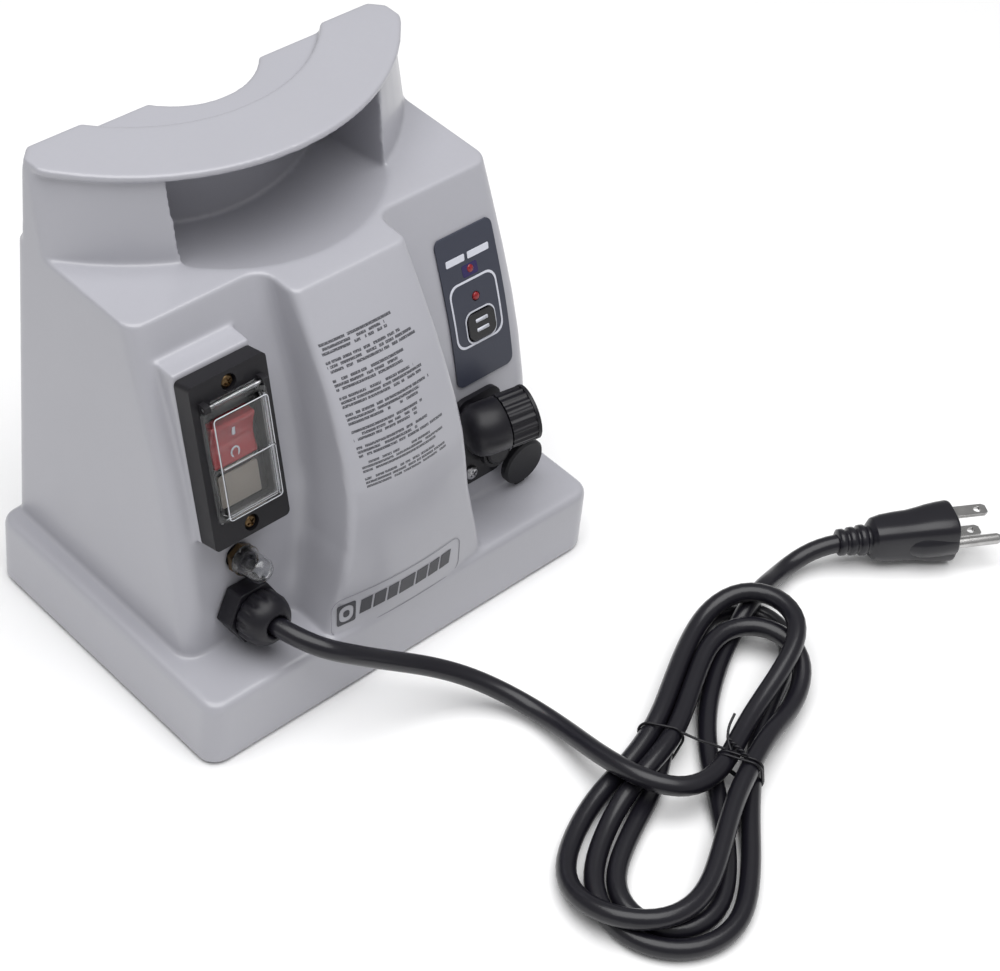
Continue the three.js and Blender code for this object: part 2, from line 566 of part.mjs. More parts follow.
// Ring round the lug, a band from it and the cross bar the cap swings on.
function capStrap() {
  const ring = place(tube(LUG.r + 0.35, 7.8, 5.6, 8.2, 32).translate([LUG.x, LUG.y, 0]), socketFrame);
  const world = (x, y, z) => new THREE.Vector3(x, y, z).applyMatrix4(socketFrame);
  const tip = new THREE.Vector3(CAP.x - 4.2, CAP.y, CAP.hingeZ);
  const start = world(LUG.x + 7, LUG.y + 0.5, 6.9);
  const middle = start.clone().lerp(tip, 0.5).add(new THREE.Vector3(0.5, -0.4, 0.3));
  const path = new THREE.CatmullRomCurve3([start, middle, tip]);
  const corners = [[-0.7, -1.2], [0.7, -1.2], [0.7, 1.2], [-0.7, 1.2]];
  const section = new THREE.Shape(corners.map((p) => new THREE.Vector2(...p)));
  const sweep = { steps: 8, bevelEnabled: false, extrudePath: path };
  const band = solid(new THREE.ExtrudeGeometry(section, sweep));
  const middleRod = [[0.9, -3], [0.9, 3.2]];
  const profile = [[0, -4.6], [1.7, -4.6], [1.7, -3], ...middleRod, [1.6, 3.2], [1.6, 4.2], [0, 4.2]];
  const bar = place(turned(profile, 16), alongX(CAP.x, CAP.y, CAP.hingeZ));
  return ring.add(band).add(bar);
}

function socketCap() {
  const toFront = new THREE.Matrix4().set(1, 0, 0, CAP.x, 0, 0, -1, CAP.y, 0, 1, 0, CAP.z, 0, 0, 0, 1);
  const { r, thick } = CAP;
  const reach = CAP.hingeZ - CAP.z;
  const edge = [[7.2, -thick / 2], [7.2, -1], [r, -1], [r, 1.4], [r - 0.9, 2.3]];
  const disc = turned([[0, -thick / 2], ...edge, [0, 2.5]], 32);
  const tab = boxAt(0, -r + 0.4, -1, 5, 3.6, 2);
  const hanger = boxAt(0, (r - 1.5 + reach) / 2, -1, 5, reach - r + 1.5, 2);
  const eye = place(rod(2.1, -2.6, 2.6, 18), alongX(0, reach, 0));
  const hole = place(rod(1.15, -6, 6, 14), alongX(0, reach, 0));
  return place(disc.add(tab).add(hanger).add(eye).subtract(hole), toFront);
}

// ---- Inside -------------------------------------------------------------
const CORE = { x: 4, y: 12, z: 11 };

function transformerCore() {
  return boxAt(0, 0, 0, 72, 30, 60)
    .subtract(boxAt(-18, 0, 12, 12, 40, 36))
    .subtract(boxAt(18, 0, 12, 12, 40, 36))
    .translate([CORE.x, CORE.y, CORE.z]);
}

function transformerCoil() {
  const body = prism(centred(47.2, 53, 4), 12.4, 47.6, [centred(24.8, 30.8, 0.5, 0, 0, 2)]);
  return body.translate([CORE.x, CORE.y, CORE.z]);
}

function transformerBracket() {
  const low = PLATE.z1 + GAP;
  const cheek = (s) => boxAt(s * 37.5, 0, low, 1.8, 30, 48);
  const shelf = boxAt(0, 0, 7.4, 73, 28, 3.2);
  return boxAt(0, 0, low, 92, 34, 1.6).add(cheek(-1)).add(cheek(1)).add(shelf).translate([CORE.x, CORE.y, 0]);
}

function terminalBlock() {
  let body = boxAt(-66, 12, PLATE.z1 + GAP, 14, 40, 12);
  for (const y of [0, 8, 16, 24]) body = body.subtract(rod(2.4, 12, 30, 12).translate([-66, y, 0]));
  return body;
}

const capacitor = () =>
  turned([[0, 6.3], [11, 6.3], [11, 46], [10, 47.2], [0, 47.2]], 24).translate([66, 22, 0]);

// ---- Supply cord --------------------------------------------------------
const glandPoint = (lz) => new THREE.Vector3(0, 0, lz).applyMatrix4(glandFrame);

function cordTube(points, steps) {
  const path = new THREE.CatmullRomCurve3(points, false, 'centripetal');
  const section = new THREE.Shape(circle(CORD_R, 10).map((p) => new THREE.Vector2(...p)));
  return solid(new THREE.ExtrudeGeometry(section, { steps, bevelEnabled: false, extrudePath: path }));
}

// Uncoiled stretch from inside the gland down to the floor and up to the coil.
function cordLead() {
  const route = [
    [-60.5, -71, 48.6], [-57.5, -80, 48], [-49.5, -83.6, 44.5], [-38, -87, 36.5], [-25.5, -90.5, 29],
    [-11.5, -96.5, 21.5], [0.5, -105, 14.8], [9.2, -115, 9], [14.2, -126, 6.2], [15.8, -136, 6.2],
    [14.9, -150, 9.4], [13.6, -162.6, 11.8],
  ];
  const points = route.map((p) => new THREE.Vector3(...p));
  return cordTube([glandPoint(-8), glandPoint(10), glandPoint(GLAND.end), ...points], 40);
}

function hankPlan(grow) {
  const { halfL, halfW } = HANK;
  const run = halfL - halfW;
  return [...arc(-run, 0, halfW + grow, 90, 270, 10), ...arc(run, 0, halfW + grow, 270, 450, 10)];
}

const onHank = (body) => body.rotate([0, 0, HANK.angle]).translate([HANK.x, HANK.y, 0]);
const cordHank = () => onHank(prism(hankPlan(0), 0, HANK.h));

function cordTie() {
  const [w, h] = [HANK.halfW + GAP, HANK.h + GAP];
  const inner = [[-w, 0.4], [-w, h], [w, h], [w, 0.4]];
  const outer = [[w + 1.2, 0.4], [w + 1.2, h + 1.2], [-w - 1.2, h + 1.2], [-w - 1.2, 0.4]];
  return onHank(prismX([...inner, ...outer], -3, 0.5));
}

function cordTail() {
  const d = plugAxis();
  const end = new THREE.Vector3(PLUG.x, PLUG.y, PLUG.z).addScaledVector(d, -53);
  const before = end.clone().addScaledVector(d, -6).setZ(PLUG.z - 0.2);
  const route = [[143.2, -139.9, 4.2], [151.5, -137.4, 5], [160.5, -136.9, 7.4]];
  return cordTube([...route.map((p) => new THREE.Vector3(...p)), before, end], 14);
}

function plugAxis() {
  const a = (PLUG.dir * Math.PI) / 180;
  return new THREE.Vector3(Math.cos(a), Math.sin(a), 0);
}

// Local X across the two blades (up), local Y towards the earth pin, local Z out of the face.
function plugFrame() {
  const d = plugAxis();
  const across = new THREE.Vector3(0, 0, 1);
  const side = new THREE.Vector3().crossVectors(d, across);
  return new THREE.Matrix4().makeBasis(across, side, d).setPosition(PLUG.x, PLUG.y, PLUG.z);
}

function plugBody() {
  const ring = (z, w, h, r) => at(centred(w, h, r, 0, 0, 4), z);
  const grip = skin([
    ring(-38.5, 13, 12, 5.5), ring(-36.5, 18, 16, 7), ring(-30, 19.6, 17.4, 7), ring(-18, 20.6, 18.4, 7),
    ring(-12, 22.6, 20.4, 7), ring(-1.5, 24, 22.4, 7), ring(0, 22.6, 21, 6.6),
  ]);
  let relief = turned([[0, -52.5], [5.6, -52.5], [7.2, -36], [0, -36]], 18);
  for (const [r, z] of [[5, -49], [5.4, -44.4], [5.8, -39.8]]) {
    relief = relief.subtract(tube(r, 12, z, z + 1.6, 18));
  }
  const earthSide = turned([[0, -25], [4, -23], [7, -17], [7.6, -10], [7.6, -0.6], [7, 0], [0, 0]], 24);
  return place(grip.add(relief).add(earthSide.translate([0, 4.4, 0])), plugFrame());
}

function plugBlade(side) {
  const tip = [[-3.15, GAP], [3.15, GAP], [3.15, 15.4], [2, 17], [-2, 17], [-3.15, 15.4]];
  const eye = circle(1.6, 12).map((p) => [p[0], p[1] + 12.6]);
  const flat = extrude(tip, 1.5, [eye]).translate(0, 0, -0.75);
  const blade = solid(flat.rotateX(Math.PI / 2).rotateZ(Math.PI / 2));
  return place(blade.translate([side * 6.35, -4, 0]), plugFrame());
}

function plugGround() {
  const pin = turned([[0, GAP], [2.4, GAP], [2.4, 18.8], [1.4, 21], [0, 21.4]], 16);
  return place(pin.translate([0, 7.9, 0]), plugFrame());
}

// ---- Assembly -----------------------------------------------------------
const group = new THREE.Group();
group.name = 'pool_power_supply';

function add(name, body, material) {
  const mesh = new THREE.Mesh(geometryOf(body), material);
  mesh.name = name;
  group.add(mesh);
}

add('upper_housing', housing(), HOUSING_GREY);
add('bottom_plate', bottomPlate(), BLACK);
for (const [sx, sy, label] of footSpots) {
  add(`foot_${label}`, foot().translate([sx * FOOT.x, sy * FOOT.y, 0]), RUBBER);
  add(`base_screw_${label}`, baseScrew().translate([sx * FOOT.x, sy * FOOT.y, 0]), STEEL);
}
add('switch_bezel', switchBezel(), BLACK);
add('switch_body', switchBody(), GLOSS_BLACK);
add('rocker', rocker(), RED);
add('status_plate', statusPlate(), PALE);
add('switch_cover', switchCover(), CLEAR);
add('cover_pin', coverPin(), STEEL);
add('bezel_screw_top', bezelScrew(30.3), STEEL);
add('bezel_screw_bottom', bezelScrew(-30.3), STEEL);
add('breaker_body', breakerBody(), BLACK);
add('breaker_nut', breakerNut(), BRASS);
add('breaker_button', breakerButton(), BLACK);
add('breaker_boot', breakerBoot(), CLEAR);
add('gland_body', glandBody(), BLACK);
add('gland_nut', glandNut(), BLACK);
add('gland_seal', glandSeal(), RUBBER);
add('gland_locknut', glandLocknut(), BLACK);
add('control_overlay', controlOverlay(), OVERLAY_GREY);
add('led_power', lens(LED_POWER), RED);
add('led_cycle', lens(LED_CYCLE), RED);
add('cycle_button', cycleButton(), BLACK);
add('control_board', controlBoard(), BOARD_GREEN);
add('socket_body', socketBody(), BLACK);
add('socket_collar', socketCollar(), BLACK);
add('socket_pin_a', socketPin(-3.2, 0), BRASS);
add('socket_pin_b', socketPin(1.6, 2.8), BRASS);
add('socket_pin_c', socketPin(1.6, -2.8), BRASS);
add('socket_screw_left', socketScrew(SOCKET_SCREWS.left), STEEL);
add('socket_screw_right', socketScrew(SOCKET_SCREWS.right), STEEL);
add('cap_strap', capStrap(), RUBBER);
add('socket_cap', socketCap(), RUBBER);
add('transformer_core', transformerCore(), IRON);
add('transformer_coil', transformerCoil(), COPPER_TAPE);
add('transformer_bracket', transformerBracket(), STEEL);
add('terminal_block', terminalBlock(), PALE);
add('capacitor', capacitor(), STEEL);
add('cord_lead', cordLead(), GLOSS_BLACK);
add('cord_hank', cordHank(), GLOSS_BLACK);
add('cord_tie', cordTie(), BLACK);
add('cord_tail', cordTail(), GLOSS_BLACK);
add('plug_body', plugBody(), GLOSS_BLACK);
add('plug_blade_upper', plugBlade(1), BRASS);
add('plug_blade_lower', plugBlade(-1), BRASS);
add('plug_ground_pin', plugGround(), STEEL);

export default group;
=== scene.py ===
"""Looks of a free-standing mains power supply for a pool appliance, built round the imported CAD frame.
Millimetres in the tables, metres in Blender. +X right of the front, front towards -Y, +Z up."""
import math

import bmesh
import bpy
import numpy as np
from mathutils import Matrix, Vector
from mathutils.kdtree import KDTree


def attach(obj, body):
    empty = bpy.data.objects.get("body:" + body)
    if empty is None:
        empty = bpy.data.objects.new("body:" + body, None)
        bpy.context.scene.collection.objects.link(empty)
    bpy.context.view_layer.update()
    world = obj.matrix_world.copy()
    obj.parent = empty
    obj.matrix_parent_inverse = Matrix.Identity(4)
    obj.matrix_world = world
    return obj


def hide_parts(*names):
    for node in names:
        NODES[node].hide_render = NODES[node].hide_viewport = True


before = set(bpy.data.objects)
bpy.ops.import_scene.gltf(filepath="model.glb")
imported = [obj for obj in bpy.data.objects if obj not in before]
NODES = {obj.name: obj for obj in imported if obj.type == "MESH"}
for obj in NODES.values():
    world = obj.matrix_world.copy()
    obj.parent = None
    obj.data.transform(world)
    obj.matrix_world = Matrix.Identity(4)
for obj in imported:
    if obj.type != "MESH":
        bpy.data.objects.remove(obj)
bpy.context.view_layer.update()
MM = 0.001

# ---- Driving places, as in the CAD --------------------------------------
FRONT = [(10, -44), (33, -42.5), (60, -38), (90, -32), (115, -24.5), (140, -14.5), (169, -1.6)]
PANEL_HALF = [(6, 42), (33, 41), (50, 36.5), (70, 32), (100, 29.7), (133, 28.5), (169, 28)]
PANEL_EDGE = [(6, -67.5), (33, -66.5), (50, -66), (70, -64.6), (100, -60), (133, -44.5), (169, -20.5)]
PANEL_BULGE = [(6, 1.6), (33, 2.5), (100, 3), (133, 2), (169, 0)]
COVER_TOP = 14.2
SWITCH_AT, SWITCH_TILT, BEZEL_THICK = (-64.5, -27.9, 119.7), 15, 9
ROCKER = {"ly": 5.2, "lz": 1.4, "half": 9.4, "width": 20.2, "lean": 7}
BREAKER_AT, BREAKER_TILT = (-64, 68.6), 12
GLAND_AT, GLAND_TILT = (-65, 47), 9.7
SOCKET_AT, SOCKET_TILT = (59.5, 64), 10
BARREL_AXIS, ELBOW = (0.95, -0.28, 0.14), (-5.5, 12, 13.5)
CONTROL_TILT = 20.5
LED_POWER, BUTTON = (66.5, 133.8), (67.1, 111.2)
PLUG_AT, PLUG_TURN = (222.9, -170.3, 12.9), -29.5
CORD_RADIUS = 4


# ---- Helpers ------------------------------------------------------------
def along_table(table):
    """Smooth curve through (position, value) rows."""
    rows = [tuple(map(float, row)) for row in table]

    def slope(p, q):
        return (q[1] - p[1]) / (q[0] - p[0])

    def value(t):
        i = 0
        while i < len(rows) - 2 and t > rows[i + 1][0]:
            i += 1
        a, b = rows[i], rows[i + 1]
        here = slope(a, b)
        m0 = (here + slope(rows[i - 1], a)) / 2 if i else here
        m1 = (here + slope(b, rows[i + 2])) / 2 if i < len(rows) - 2 else here
        h = b[0] - a[0]
        s = (t - a[0]) / h
        return (a[1] * (1 + 2 * s) * (1 - s) ** 2 + m0 * h * s * (1 - s) ** 2
                + b[1] * s * s * (3 - 2 * s) + m1 * h * s * s * (s - 1))

    return value


front_y = along_table(FRONT)
panel_half = along_table(PANEL_HALF)
panel_edge = along_table(PANEL_EDGE)
panel_bulge = along_table(PANEL_BULGE)


def panel_y(x, z):
    """Face of the raised centre panel."""
    return panel_edge(z) - panel_bulge(z) * (1 - (x / (panel_half(z) - 4)) ** 2)


def face_frame(at, tilt):
    """Metre matrix of a leaning face: local X right, Y up the face, Z outwards, local units millimetres."""
    s, c = math.sin(math.radians(tilt)), math.cos(math.radians(tilt))
    turn = Matrix(((1, 0, 0, at[0]), (0, s, -c, at[1]), (0, c, s, at[2]), (0, 0, 0, 1)))
    return Matrix.Scale(MM, 4) @ turn


SWITCH = face_frame(SWITCH_AT, SWITCH_TILT)
BREAKER = face_frame((BREAKER_AT[0], front_y(BREAKER_AT[1]), BREAKER_AT[1]), BREAKER_TILT)
GLAND = face_frame((GLAND_AT[0], front_y(GLAND_AT[1]), GLAND_AT[1]), GLAND_TILT)
SOCKET = face_frame((SOCKET_AT[0], front_y(SOCKET_AT[1]), SOCKET_AT[1]), SOCKET_TILT)


def control_frame(spot):
    return face_frame((spot[0], front_y(spot[1]), spot[1]), CONTROL_TILT)


def along(axis, side, at):
    """Metre matrix whose local Z is axis and local X is side."""
    z = Vector(axis).normalized()
    x = (Vector(side) - z * z.dot(Vector(side))).normalized()
    turn = Matrix((x, z.cross(x), z)).transposed().to_4x4()
    return Matrix.Scale(MM, 4) @ Matrix.Translation(at) @ turn


def new_mesh(name, points, faces, matrix=None, smooth=True):
    mesh = bpy.data.meshes.new(name)
    matrix = matrix or Matrix.Scale(MM, 4)
    mesh.from_pydata([matrix @ Vector(p) for p in points], [], faces)
    piece = bpy.data.objects.new(name, mesh)
    bpy.context.scene.collection.objects.link(piece)
    bm = bmesh.new()
    bm.from_mesh(mesh)
    bmesh.ops.remove_doubles(bm, verts=bm.verts, dist=1e-7)
    bmesh.ops.recalc_face_normals(bm, faces=bm.faces)
    bm.to_mesh(mesh)
    bm.free()
    for face in mesh.polygons:
        face.use_smooth = smooth
    return piece


def rings_mesh(name, rings, matrix=None, capped=True):
    """Skin through rings of equal length, with an end cap at each end."""
    n = len(rings[0])
    points = [p for ring in rings for p in ring]
    faces = [(k * n + i, k * n + (i + 1) % n, (k + 1) * n + (i + 1) % n, (k + 1) * n + i)
             for k in range(len(rings) - 1) for i in range(n)]
    if capped:
        faces += [tuple(reversed(range(n))), tuple(range(len(points) - n, len(points)))]
    return new_mesh(name, points, faces, matrix)


def lathe(name, profile, segments, matrix):
    """Profile of (radius, height) turned about local Z; ends on the axis."""
    points, rows = [], []
    for r, z in profile:
        if r < 1e-6:
            rows.append([len(points)])
            points.append((0, 0, z))
        else:
            rows.append(list(range(len(points), len(points) + segments)))
            points += [(r * math.cos(2 * math.pi * i / segments), r * math.sin(2 * math.pi * i / segments), z)
                       for i in range(segments)]
    faces = []
    for a, b in zip(rows, rows[1:]):
        for i in range(segments):
            j = (i + 1) % segments
            quad = [a[i % len(a)], a[j % len(a)], b[j % len(b)], b[i % len(b)]]
            face = list(dict.fromkeys(quad))
            if len(face) > 2:
                faces.append(tuple(face))
    return new_mesh(name, points, faces, matrix)


def rounded_outline(w, h, r, cx=0, cy=0, n=6):
    points = []
    for sx, sy, start in ((1, -1, -90), (1, 1, 0), (-1, 1, 90), (-1, -1, 180)):
        for i in range(n + 1):
            a = math.radians(start + 90 * i / n)
            points.append((cx + sx * (w / 2 - r) + r * math.cos(a), cy + sy * (h / 2 - r) + r * math.sin(a)))
    return points


def softened(piece, width, segments=3, limit=32):
    """Rounds the edges of a CAD node or of a made piece."""
    weld = piece.modifiers.new("weld", "WELD")
    weld.merge_threshold = 1e-6
    bevel = piece.modifiers.new("edges", "BEVEL")
    bevel.width = width * MM
    bevel.segments = segments
    bevel.limit_method = "ANGLE"
    bevel.angle_limit = math.radians(limit)
    bevel.use_clamp_overlap = True
    bevel.harden_normals = True
    for face in piece.data.polygons:
        face.use_smooth = True
    normals = piece.modifiers.new("normals", "WEIGHTED_NORMAL")
    normals.keep_sharp = True
    return piece


def dress(piece, material):
    piece.data.materials.clear()
    piece.data.materials.append(material)
    return piece


def applied(piece):
    """Turns a piece's modifiers into its mesh."""
    bpy.context.view_layer.update()
    graph = bpy.context.evaluated_depsgraph_get()
    mesh = bpy.data.meshes.new_from_object(piece.evaluated_get(graph))
    piece.modifiers.clear()
    piece.data = mesh
    return piece


def linear(*rgb):
    """Linear colour of 8-bit display values."""
    return [(v / 255 / 12.92 if v < 10.3 else ((v / 255 + 0.055) / 1.055) ** 2.4) for v in rgb]


# ---- Materials ----------------------------------------------------------
class Finish:
    """A node material under construction; textures read the piece's own metre coordinates."""

    def __init__(self, name):
        self.material = bpy.data.materials.new(name)
        self.material.use_nodes = True
        self.tree = self.material.node_tree
        self.shader = self.tree.nodes["Principled BSDF"]
        self.place = self.tree.nodes.new("ShaderNodeTexCoord").outputs["Object"]

    def node(self, kind, inputs, **settings):
        made = self.tree.nodes.new(kind)
        for key, value in settings.items():
            setattr(made, key, value)
        for key, value in inputs.items():
            self.feed(made.inputs[key], value)
        return made

    def feed(self, socket, value):
        if isinstance(value, bpy.types.NodeSocket):
            self.tree.links.new(value, socket)
        elif isinstance(value, (list, tuple)) and len(value) == 3 and socket.type == "RGBA":
            socket.default_value = (*value, 1)
        else:
            socket.default_value = value

    def put(self, name, value):
        self.feed(self.shader.inputs[name], value)

    def noise(self, scale, detail=3.0, rough=0.55, at=None, distortion=0.0):
        inputs = {"Vector": at or self.place, "Scale": scale, "Detail": detail, "Roughness": rough,
                  "Distortion": distortion}
        return self.node("ShaderNodeTexNoise", inputs).outputs["Fac"]

    def stretched(self, x, y, z):
        return self.node("ShaderNodeMapping", {"Vector": self.place, "Scale": (x, y, z)}).outputs["Vector"]

    def math(self, operation, a, b=0.0, clamp=False):
        made = self.tree.nodes.new("ShaderNodeMath")
        made.operation = operation
        made.use_clamp = clamp
        self.feed(made.inputs[0], a)
        self.feed(made.inputs[1], b)
        return made.outputs[0]

    def between(self, value, low, high, out_low=0.0, out_high=1.0):
        inputs = {"Value": value, "From Min": low, "From Max": high, "To Min": out_low, "To Max": out_high}
        return self.node("ShaderNodeMapRange", inputs).outputs["Result"]

    def mix(self, share, a, b):
        made = self.tree.nodes.new("ShaderNodeMix")
        made.data_type = "RGBA"
        self.feed(made.inputs["Factor"], share)
        self.feed(made.inputs["A"], a)
        self.feed(made.inputs["B"], b)
        return [s for s in made.outputs if s.type == "RGBA"][0]

    def bump(self, height, depth, strength=1.0, normal=None):
        inputs = {"Height": height, "Distance": depth, "Strength": strength}
        if normal:
            inputs["Normal"] = normal
        return self.node("ShaderNodeBump", inputs).outputs["Normal"]


def shade(colour, factor):
    return [min(1.0, c * factor) for c in colour]


def moulded(name, colour, rough, grain=0.00002, grain_scale=2200, mottling=0.06, coat=0.0,
            dents=0.00006, spec=0.5):
    """Moulded plastic: faint flow mottling, fine grain, handling marks in its gloss."""
    f = Finish(name)
    broad = f.noise(14, 3, 0.5)
    fine = f.noise(420, 3, 0.6)
    tone = f.mix(f.between(broad, 0.3, 0.7), shade(colour, 1 - mottling), shade(colour, 1 + mottling))
    tone = f.mix(f.between(fine, 0.35, 0.65, 0, 0.35), tone, shade(colour, 1 - 1.2 * mottling))
    f.put("Base Color", tone)
    rubbed = f.noise(34, 3, 0.5)
    f.put("Roughness", f.between(rubbed, 0.25, 0.75, rough - 0.03, rough + 0.05))
    coarse = f.bump(f.noise(90, 2), dents, 0.5)
    f.put("Normal", f.bump(f.noise(grain_scale, 2, 0.5), grain, 1.0, coarse))
    f.shader.inputs["Specular IOR Level"].default_value = spec
    if coat:
        f.shader.inputs["Coat Weight"].default_value = coat
        f.shader.inputs["Coat Roughness"].default_value = 0.12
    return f


def metal(name, colour, rough, stretch):
    """Metal with fine drawn lines along the stretched axis."""
    f = Finish(name)
    lines = f.noise(900, 3, 0.6, at=f.stretched(*stretch))
    stain = f.noise(120, 4, 0.6)
    f.put("Base Color", f.mix(f.between(stain, 0.35, 0.75), colour, shade(colour, 0.72)))
    f.put("Metallic", 1.0)
    f.put("Roughness", f.between(lines, 0.2, 0.8, rough - 0.08, rough + 0.14))
    f.put("Normal", f.bump(lines, 0.00002, 0.6))
    return f


def clear(name, tint, rough, ior):
    """Clear plastic with faint rub marks."""
    f = Finish(name)
    f.put("Base Color", f.mix(f.between(f.noise(70, 3), 0.3, 0.7), tint, shade(tint, 0.96)))
    f.shader.inputs["Transmission Weight"].default_value = 1.0
    f.shader.inputs["IOR"].default_value = ior
    f.shader.inputs["Coat Weight"].default_value = 0.5
    f.shader.inputs["Coat Roughness"].default_value = 0.06
    rub = f.noise(260, 4, 0.7, at=f.stretched(1, 1, 0.25))
    f.put("Roughness", f.between(rub, 0.35, 0.8, rough, rough + 0.1))
    f.put("Normal", f.bump(f.noise(45, 2), 0.00012, 0.4))
    return f


def housing_finish():
    """Light grey housing plastic, with rows of greeked print on the centre panel."""
    grey = linear(168, 168, 175)
    f = moulded("housing_plastic", grey, 0.32, grain=0.000008, mottling=0.02, dents=0.00002)
    f.shader.inputs["Coat Weight"].default_value = 0.25
    f.shader.inputs["Coat Roughness"].default_value = 0.16
    base = f.shader.inputs["Base Color"].links[0].from_socket
    axes = f.node("ShaderNodeSeparateXYZ", {"Vector": f.place}).outputs
    top, pitch, rows = 0.1515, 0.00153, 36
    down = f.math("DIVIDE", f.math("SUBTRACT", top, axes["Z"]), pitch)
    row = f.math("FLOOR", down)
    in_row = f.math("FRACT", down)
    band = f.math("MULTIPLY", f.math("GREATER_THAN", in_row, 0.12), f.math("LESS_THAN", in_row, 0.76))
    written = f.math("LESS_THAN", f.math("MODULO", f.math("ADD", row, 0.5), 4.0), 3.0)
    block = f.math("MULTIPLY", f.math("GREATER_THAN", down, 0.0), f.math("LESS_THAN", down, float(rows)))
    seed = f.node("ShaderNodeCombineXYZ", {"X": f.math("MULTIPLY", row, 3.71),
                                           "Y": f.math("MULTIPLY", row, 1.37)})
    chance = f.node("ShaderNodeTexWhiteNoise", {"Vector": seed.outputs[0]}).outputs["Value"]
    ragged = f.math("MULTIPLY", chance, 0.012)
    drift = f.math("MULTIPLY", down, 0.00009)
    left = f.math("ADD", drift, -0.0255)
    inside = f.math("MULTIPLY", f.math("GREATER_THAN", axes["X"], left),
                    f.math("LESS_THAN", axes["X"], f.math("SUBTRACT", f.math("ADD", drift, 0.0162), ragged)))
    run = f.node("ShaderNodeCombineXYZ", {"X": f.math("MULTIPLY", axes["X"], 420.0),
                                          "Y": f.math("MULTIPLY", row, 7.3)}).outputs[0]
    words = f.math("GREATER_THAN", f.noise(1.0, 0, at=run), 0.36)
    letters_at = f.node("ShaderNodeCombineXYZ", {"X": f.math("MULTIPLY", axes["X"], 2600.0),
                                                 "Y": f.math("MULTIPLY", axes["Z"], 1700.0)}).outputs[0]
    letters = f.between(f.noise(1.0, 1, at=letters_at), 0.3, 0.46)
    ink = f.math("LESS_THAN", axes["Y"], -0.0285)
    for part in (band, written, block, inside, words, letters):
        ink = f.math("MULTIPLY", ink, part)
    f.put("Base Color", f.mix(f.math("MULTIPLY", ink, 0.9), base, linear(52, 52, 58)))
    return f.material


HOUSING = housing_finish()
BLACK = moulded("black_plastic", linear(21, 20, 26), 0.4, grain=0.00003, mottling=0.12, spec=0.35).material
BEZEL_BLACK = moulded("bezel_plastic", linear(27, 26, 30), 0.5, grain=0.00004, grain_scale=2600,
                      mottling=0.1, spec=0.3).material
GLOSS_BLACK = moulded("gloss_black_plastic", linear(20, 19, 23), 0.22, mottling=0.1, coat=0.2,
                      spec=0.4).material
VINYL = moulded("cord_vinyl", linear(22, 21, 28), 0.3, grain=0.00003, grain_scale=1500,
                mottling=0.14, coat=0.12, spec=0.4).material
RUBBER = moulded("soft_rubber", linear(25, 25, 29), 0.55, grain=0.00005, grain_scale=1300,
                 mottling=0.12, spec=0.35).material
RED = moulded("red_plastic", linear(146, 26, 34), 0.26, grain=0.00001, mottling=0.08, coat=0.3).material
PALE = moulded("pale_plastic", linear(128, 120, 112), 0.5, mottling=0.05).material
MARK = moulded("pale_print", linear(206, 208, 218), 0.5, mottling=0.04).material
INK = moulded("dark_print", linear(58, 58, 64), 0.45, mottling=0.05).material
FILM = moulded("overlay_film", linear(56, 59, 72), 0.38, grain=0.00004, grain_scale=3200,
               mottling=0.05, spec=0.4).material
WINDOW = moulded("lamp_window", linear(44, 34, 84), 0.2, mottling=0.1).material
BOARD = moulded("board_laminate", linear(36, 92, 56), 0.45, mottling=0.1).material
IRON = metal("core_iron", linear(96, 96, 100), 0.5, (1, 1, 14)).material
COIL = moulded("coil_tape", linear(200, 164, 66), 0.4, mottling=0.08).material
STEEL = metal("bright_steel", linear(190, 190, 193), 0.28, (1, 1, 9)).material
BRASS = metal("plain_brass", linear(112, 92, 66), 0.34, (1, 9, 1)).material
NICKEL = metal("plated_blade", linear(196, 195, 194), 0.26, (6, 6, 1)).material
CLEAR = clear("clear_cover", (0.97, 0.98, 0.985), 0.03, 1.12).material
# Pale colour of the strips on the clear cover's edges: a painted highlight, not a real polished rim.
COVER_HIGHLIGHT = moulded("painted_cover_highlight", linear(196, 198, 204), 0.2, mottling=0.04, coat=0.3).material
BOOT = clear("clear_boot", (0.93, 0.94, 0.945), 0.1, 1.28).material


def led_finish(name, dark, lit):
    f = Finish(name)
    glow = f.between(f.noise(900, 2), 0.3, 0.7)
    f.put("Base Color", f.mix(glow, dark, lit))
    f.put("Roughness", f.between(f.noise(500, 2), 0.3, 0.7, 0.12, 0.25))
    f.put("Emission Color", lit)
    f.shader.inputs["Emission Strength"].default_value = 0.08
    return f.material


LENS = led_finish("led_lens", linear(84, 14, 24), linear(150, 36, 40))

# ---- Camera, light and floor --------------------------------------------
CAMERA = {"azimuth": -48.334, "elevation": 42.971, "roll": 7.298, "lens": 91.94,
          "at": (-512.3, -563.4, 760.4)}


def make_camera():
    a, e, r = (math.radians(CAMERA[k]) for k in ("azimuth", "elevation", "roll"))
    back = Vector((math.sin(a) * math.cos(e), -math.cos(a) * math.cos(e), math.sin(e)))
    right = Vector((math.cos(a), math.sin(a), 0))
    up = back.cross(right)
    x = right * math.cos(r) + up * math.sin(r)
    y = up * math.cos(r) - right * math.sin(r)
    data = bpy.data.cameras.new("camera")
    data.sensor_width = 36
    data.lens = CAMERA["lens"]
    data.clip_start, data.clip_end = 0.05, 20
    camera = bpy.data.objects.new("camera", data)
    bpy.context.scene.collection.objects.link(camera)
    turn = Matrix((x, y, back)).transposed().to_4x4()
    camera.matrix_world = Matrix.Translation(Vector(CAMERA["at"]) * MM) @ turn
    bpy.context.scene.camera = camera


